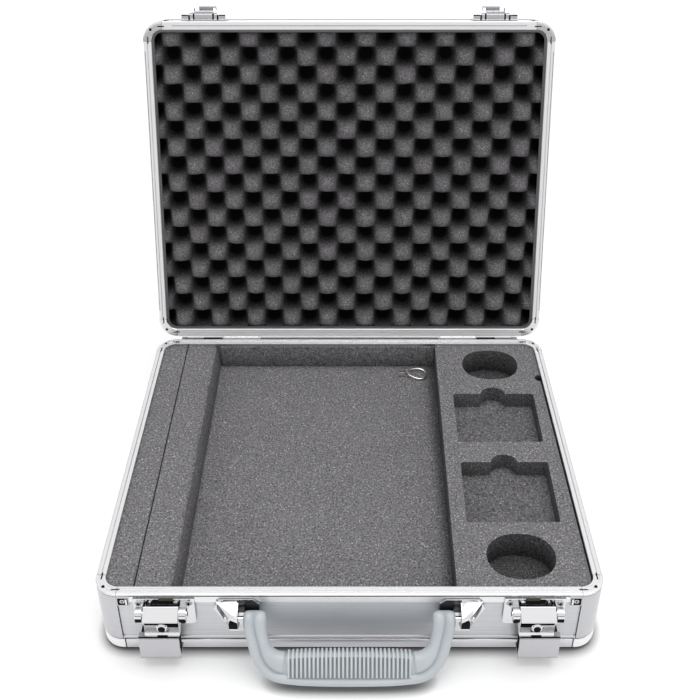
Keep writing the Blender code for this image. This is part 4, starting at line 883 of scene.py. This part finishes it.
def makeBracket(word, side):
    node = f"handle_bracket_{word}"
    shape = cadCopy(node)
    for point, across in (((side * bracket["divide"], 0, 0), (1, 0, 0)), ((0, 0, bracket["level"]), (0, 0, 1))):
        bmesh.ops.bisect_plane(shape, geom=shape.verts[:] + shape.edges[:] + shape.faces[:], plane_co=point,
                               plane_no=across)
    dress(node, "plated", shape, "chrome", bevel=0.0003, shaded=("paintedShadePlating", bracketShade))
    # a dark box of painted shade on the boss's front facet, with a chrome strip under it
    left, right = bracket["facet"]
    for part, finish in (("window", "dark"), ("rim", "chrome")):
        facet = frontBox(None, side * left, side * right, *bracket["facetOut"], *bracket[part])
        dress(node, part, facet, finish)


# Latches, catches, hinges and keys
for word, side in (("left", -1), ("right", 1)):
    lever = (latch["middle"] + latch["shift"]) * side
    outer = latch["leverHalf"] + latch["knuckleGap"] + latch["knuckleWidth"]
    latchPlate(f"latch_plate_{word}", side, lever, outer)
    latchPin(f"latch_pin_{word}", lever, outer)
    latchLever(f"latch_lever_{word}", side, lever)
    lockPlug(f"lock_plug_{word}", lever)
    dressNode(f"lid_catch_{word}", "chrome")
    dress(f"lid_catch_{word}", "shade", catchShade(side), "dark", lid=True)
    # the hook wears the darker copy of the plating: painted shade
    dressNode(f"latch_hook_{word}", "latch", "latch", bevel=0.0003)
    for part in ("hinge_base_leaf", "hinge_lid_leaf", "hinge_pin"):
        dressNode(f"{part}_{word}", "cast")
    makeBracket(word, side)
    dressNode(f"handle_pin_{word}", "chrome")
for node in ("key_ring", "key_1", "key_2"):
    dressNode(node, "key", "key", bevel=0.0001)
print("fittings made")

# Handle: a two-lobed bail, lofted from its outer to its inner curve, with a ribbed grip round the middle
handle = {
    "pivot": Vector((0, case["front"] - 0.0082, 0.0475)), "lean": math.radians(-27.8), "half": 0.006,
    "lobe": 0.0080, "grooveDepth": 0.0028, "innerRound": 0.0045, "gripHalf": 0.0462, "collar": 0.0015,
    "sink": 0.0017, "sinkEase": 0.0012, "ribs": 30, "ribWidth": 0.0017, "ribProud": 0.0003, "ribLow": 0.0420,
    "ribRound": 0.0044, "gapProud": -0.0012, "gapPlay": 0.0001, "steps": 4, "domeReach": 0.0120, "domeRise": 0.8,
}
handleTop = [   # outer x, outer reach, inner x, inner reach, share of the depth
    (0.0781, -0.0059, 0.0615, -0.0059, 0.18), (0.0782, -0.0054, 0.0614, -0.0054, 0.44),
    (0.0783, -0.0042, 0.0613, -0.0042, 0.71), (0.0783, -0.0022, 0.0613, -0.0022, 0.93),
]
handleLine = [   # outer x, outer reach, inner x, inner reach
    (0.0783, 0.0000, 0.0613, 0.0000), (0.0781, 0.0045, 0.0611, 0.0045), (0.0772, 0.0098, 0.0606, 0.0098),
    (0.0757, 0.0160, 0.0597, 0.0146), (0.0735, 0.0250, 0.0585, 0.0184), (0.0702, 0.0332, 0.0567, 0.0214),
    (0.0650, 0.0405, 0.0545, 0.0234), (0.0608, 0.0439, 0.0524, 0.0245), (0.0562, 0.0464, 0.0500, 0.0251),
    (0.0515, 0.0478, 0.0475, 0.0252), (0.0465, 0.0486, 0.0450, 0.0250), (0.0380, 0.0495, 0.0380, 0.0244),
    (0.0300, 0.0500, 0.0300, 0.0240), (0.0150, 0.0504, 0.0150, 0.0237), (0.0000, 0.0505, 0.0000, 0.0236),
]


def smoothLine(points, steps):
    # a rounded line through the points, ends doubled
    padded = [points[0]] + points + [points[-1]]
    line = []
    for before, start, end, after in zip(padded, padded[1:], padded[2:], padded[3:]):
        for step in range(steps):
            t = step / steps
            line.append(tuple(
                0.5 * (2 * b + (c - a) * t + (2 * a - 5 * b + 4 * c - d) * t * t + (3 * b - a - 3 * c + d) * t ** 3)
                for a, b, c, d in zip(before, start, end, after)))
    return line + [points[-1]]


def handleToCase(shape):
    bmesh.ops.rotate(shape, verts=shape.verts, cent=(0, 0, 0), matrix=Matrix.Rotation(handle["lean"], 3, "X"))
    bmesh.ops.translate(shape, verts=shape.verts, vec=handle["pivot"])
    return shape


def handleSection(width, depth, sunk):
    # pairs of (distance in from the outer edge, depth), front from outside in, then the back
    half, lobe, deep = handle["half"] * depth, handle["lobe"], handle["sink"] * sunk
    turns = [math.radians(turn) for turn in (0, 22, 45, 68, 90, 112, 132)]
    first = [(lobe / 2 - lobe / 2 * math.cos(t), -half * math.sin(t)) for t in turns]
    radius = min(handle["innerRound"], (width - lobe) / 2)
    start, end = lobe + radius, width - radius - deep
    groove, front = half - handle["grooveDepth"] * depth, half - deep
    second = [(lobe + 0.0001, -groove * 0.97), (start - radius * 0.85, -min(front, groove + 0.0006 * depth)),
              (start - radius * 0.6, -front * 0.86), (start - radius * 0.3, -front * 0.97), (start, -front),
              (end, -front)]
    inner = [(end + radius * math.sin(t), -front * math.cos(t)) for t in turns[1:5]]
    back = [(end + radius * 0.92, front * 0.40), (end + radius * 0.70, front * 0.72),
            (end + radius * 0.35, front * 0.95), (end, front), (start, half), (lobe / 2, half),
            (lobe * 0.22, half * 0.9), (lobe * 0.06, half * 0.6)]
    return first + second + inner + back


def lobeDome(t, width):
    # how far the top of each lobe rounds away from its middle
    lobe = handle["lobe"]
    low, high = (0, lobe) if t < lobe else (lobe, width)
    radius = (high - low) / 2
    away = min(abs(t - (low + high) / 2), radius)
    return (radius - math.sqrt(radius * radius - away * away)) * handle["domeRise"]


def handleShell():
    right = handleTop + [line + (1.0,) for line in smoothLine(handleLine, handle["steps"])]
    stations = right + [(-a, b, -c, d, e) for a, b, c, d, e in reversed(right[:-1])]
    around = len(handleSection(0.017, 1, 0))
    shape = bmesh.new()
    bmesh.ops.create_grid(shape, x_segments=len(stations) - 1, y_segments=around, size=1)
    shape.verts.ensure_lookup_table()
    for column, (outX, outReach, inX, inReach, depth) in enumerate(stations):
        outer, inner = Vector((outX, 0, -outReach)), Vector((inX, 0, -inReach))
        inwards = inner - outer
        width = inwards.length
        inwards.normalize()
        sunk = min(max((handle["gripHalf"] + handle["collar"] - abs(inX)) / handle["sinkEase"], 0), 1)
        section = handleSection(width, depth, sunk)
        high = max(0.0, 1 - (outReach - handleTop[0][1]) / handle["domeReach"])
        for row in range(around + 1):
            t, y = section[row % around]
            vert = shape.verts[row * len(stations) + column]
            vert.co = outer + inwards * t + Vector((0, y, -high * lobeDome(t, width)))
    bmesh.ops.remove_doubles(shape, verts=shape.verts, dist=0.00001)
    bmesh.ops.holes_fill(shape, edges=[e for e in shape.edges if e.is_boundary], sides=0)
    return handleToCase(shape)


def innerReach(x):
    # reach of the grip's top edge at x
    line = sorted((inX, inReach) for _, _, inX, inReach in handleLine)
    for (x0, r0), (x1, r1) in zip(line, line[1:]):
        if x0 <= abs(x) <= x1:
            return r0 + (r1 - r0) * (abs(x) - x0) / max(x1 - x0, 1e-9)
    return line[-1][1]


def gripPlates(width, proud, count, rounded):
    # plates round the grip, their outline a little outside it and their edges rounded
    shape = bmesh.new()
    half, low, r = handle["half"], handle["ribLow"], handle["ribRound"]
    for plate in range(count):
        x = ribPitch * (plate - (count - 1) / 2)
        top = innerReach(x) - proud * 2
        outline = arcPoints((-half - proud + r, -top - r), r, 180, 90, 4)
        outline += arcPoints((half + proud - r, -top - r), r, 90, 0, 4)
        outline += [(half + proud * 0.5, -low), (-half - proud * 0.2, -low)]
        drawnShape([(x - width / 2, y, z) for y, z in outline], (width, 0, 0), shape)
    if rounded:
        rims = [e for e in shape.edges
                if e.calc_face_angle(0) > math.radians(60) and e.verts[0].co.x == e.verts[1].co.x]
        roundEdges(shape, rims, width * 0.36, 2, clamp=True)
    return handleToCase(shape)


ribPitch = 2 * handle["gripHalf"] / handle["ribs"]
gapWidth = ribPitch - handle["ribWidth"] - handle["gapPlay"]
ribPlates = gripPlates(handle["ribWidth"], handle["ribProud"], handle["ribs"], True)
gapPlates = gripPlates(gapWidth, handle["gapProud"], handle["ribs"] - 1, False)
finishPiece("handle_bail", handleShell(), "handle", "handle", "handle_body", sharp=50)
dress("handle_grip", "ribs", ribPlates, "grip", "grip", sharp=50)
dress("handle_grip", "gaps", gapPlates, "gripGapShade", "grip", sharp=50)
print("handle made")

# Floor, light and camera
studio = {
    "floorSize": 6.0, "floorLevel": -0.0002, "floorShade": 0.9, "floorGlow": 0.15, "contact": 0.011,
    "contactShade": 0.2, "world": 0.77, "pale": 1.0, "room": 0.05, "sun": 1.15, "sunSpread": 40,
    "sunAlong": (-0.10, -0.04, -0.99),
}


def rayMasks(tree):
    # 1 for rays straight from the camera, and 1 for those and for mirrored or refracted ones
    path = newNode(tree, "LightPath")
    direct = path["Is Camera Ray"]
    bent = calc(tree, "MAXIMUM", path["Is Glossy Ray"], path["Is Transmission Ray"])
    return direct, calc(tree, "MAXIMUM", direct, bent)


floorShape = bmesh.new()
bmesh.ops.create_grid(floorShape, x_segments=4, y_segments=4, size=studio["floorSize"])
floorMesh = meshFrom("floor", floorShape)
floor = addObject("floor", floorMesh)
floor.location = (0, 0, studio["floorLevel"])
floorPaint, tree, skin = startMaterial("pale floor", {"Roughness": 0.9, "Specular IOR Level": 0.0})
direct, seen = rayMasks(tree)
# painted contact shadow: seen directly, the floor darkens close to whatever stands on it
openness = newNode(tree, "AmbientOcclusion", {"Distance": studio["contact"]})["AO"]
contact = mixOf(tree, direct, 1.0, remap(tree, openness, 0.45, 0.92, studio["contactShade"], 1.0))
fillInputs(tree, skin, {
    "Base Color": times(tree, contact, studio["floorShade"]),
    "Emission Color": (1, 1, 1, 1),
    "Emission Strength": times(tree, seen, times(tree, contact, studio["floorGlow"])),
})
floorMesh.materials.append(floorPaint)

world = bpy.data.worlds.new("studio")
world.use_nodes = True
bpy.context.scene.world = world
tree = world.node_tree
direct, seen = rayMasks(tree)
# metal mirrors a pale ceiling and floor and a darker room between them
generated = newNode(tree, "TexCoord")["Generated"]
height = newNode(tree, "SeparateXYZ", {0: generated})["Z"]
above = remap(tree, height, 0.10, 0.28, studio["room"], studio["pale"], "SMOOTHSTEP")
mirror = calc(tree, "MAXIMUM", calc(tree, "LESS_THAN", height, -0.02), above)
strength = mixOf(tree, seen, studio["world"], mixOf(tree, direct, mirror, studio["pale"]))
fillInputs(tree, tree.nodes["Background"], {"Color": (1, 1, 1, 1), "Strength": strength})

light = bpy.data.lights.new("broad top light", "SUN")
light.energy = studio["sun"]
light.angle = math.radians(studio["sunSpread"])
lamp = addObject("broad top light", light)
lamp.rotation_euler = Vector(studio["sunAlong"]).to_track_quat("-Z", "Y").to_euler()

view = {   # tilt in degrees; the focal length, the shift and the picture's width in pixels
    "place": (0, -0.63554, 0.66416), "tilt": 58.512, "focal": 985.5, "shift": (0.6, -110), "pixels": 700,
}
lens = bpy.data.cameras.new("camera")
lens.sensor_width = 36
lens.lens = view["focal"] * lens.sensor_width / view["pixels"]
lens.shift_x, lens.shift_y = [shift / view["pixels"] for shift in view["shift"]]
camera = addObject("camera", lens)
camera.location = view["place"]
camera.rotation_euler = (math.radians(view["tilt"]), 0, 0)
bpy.context.scene.camera = camera
bpy.context.scene.view_settings.view_transform = "Standard"
print("stage set")
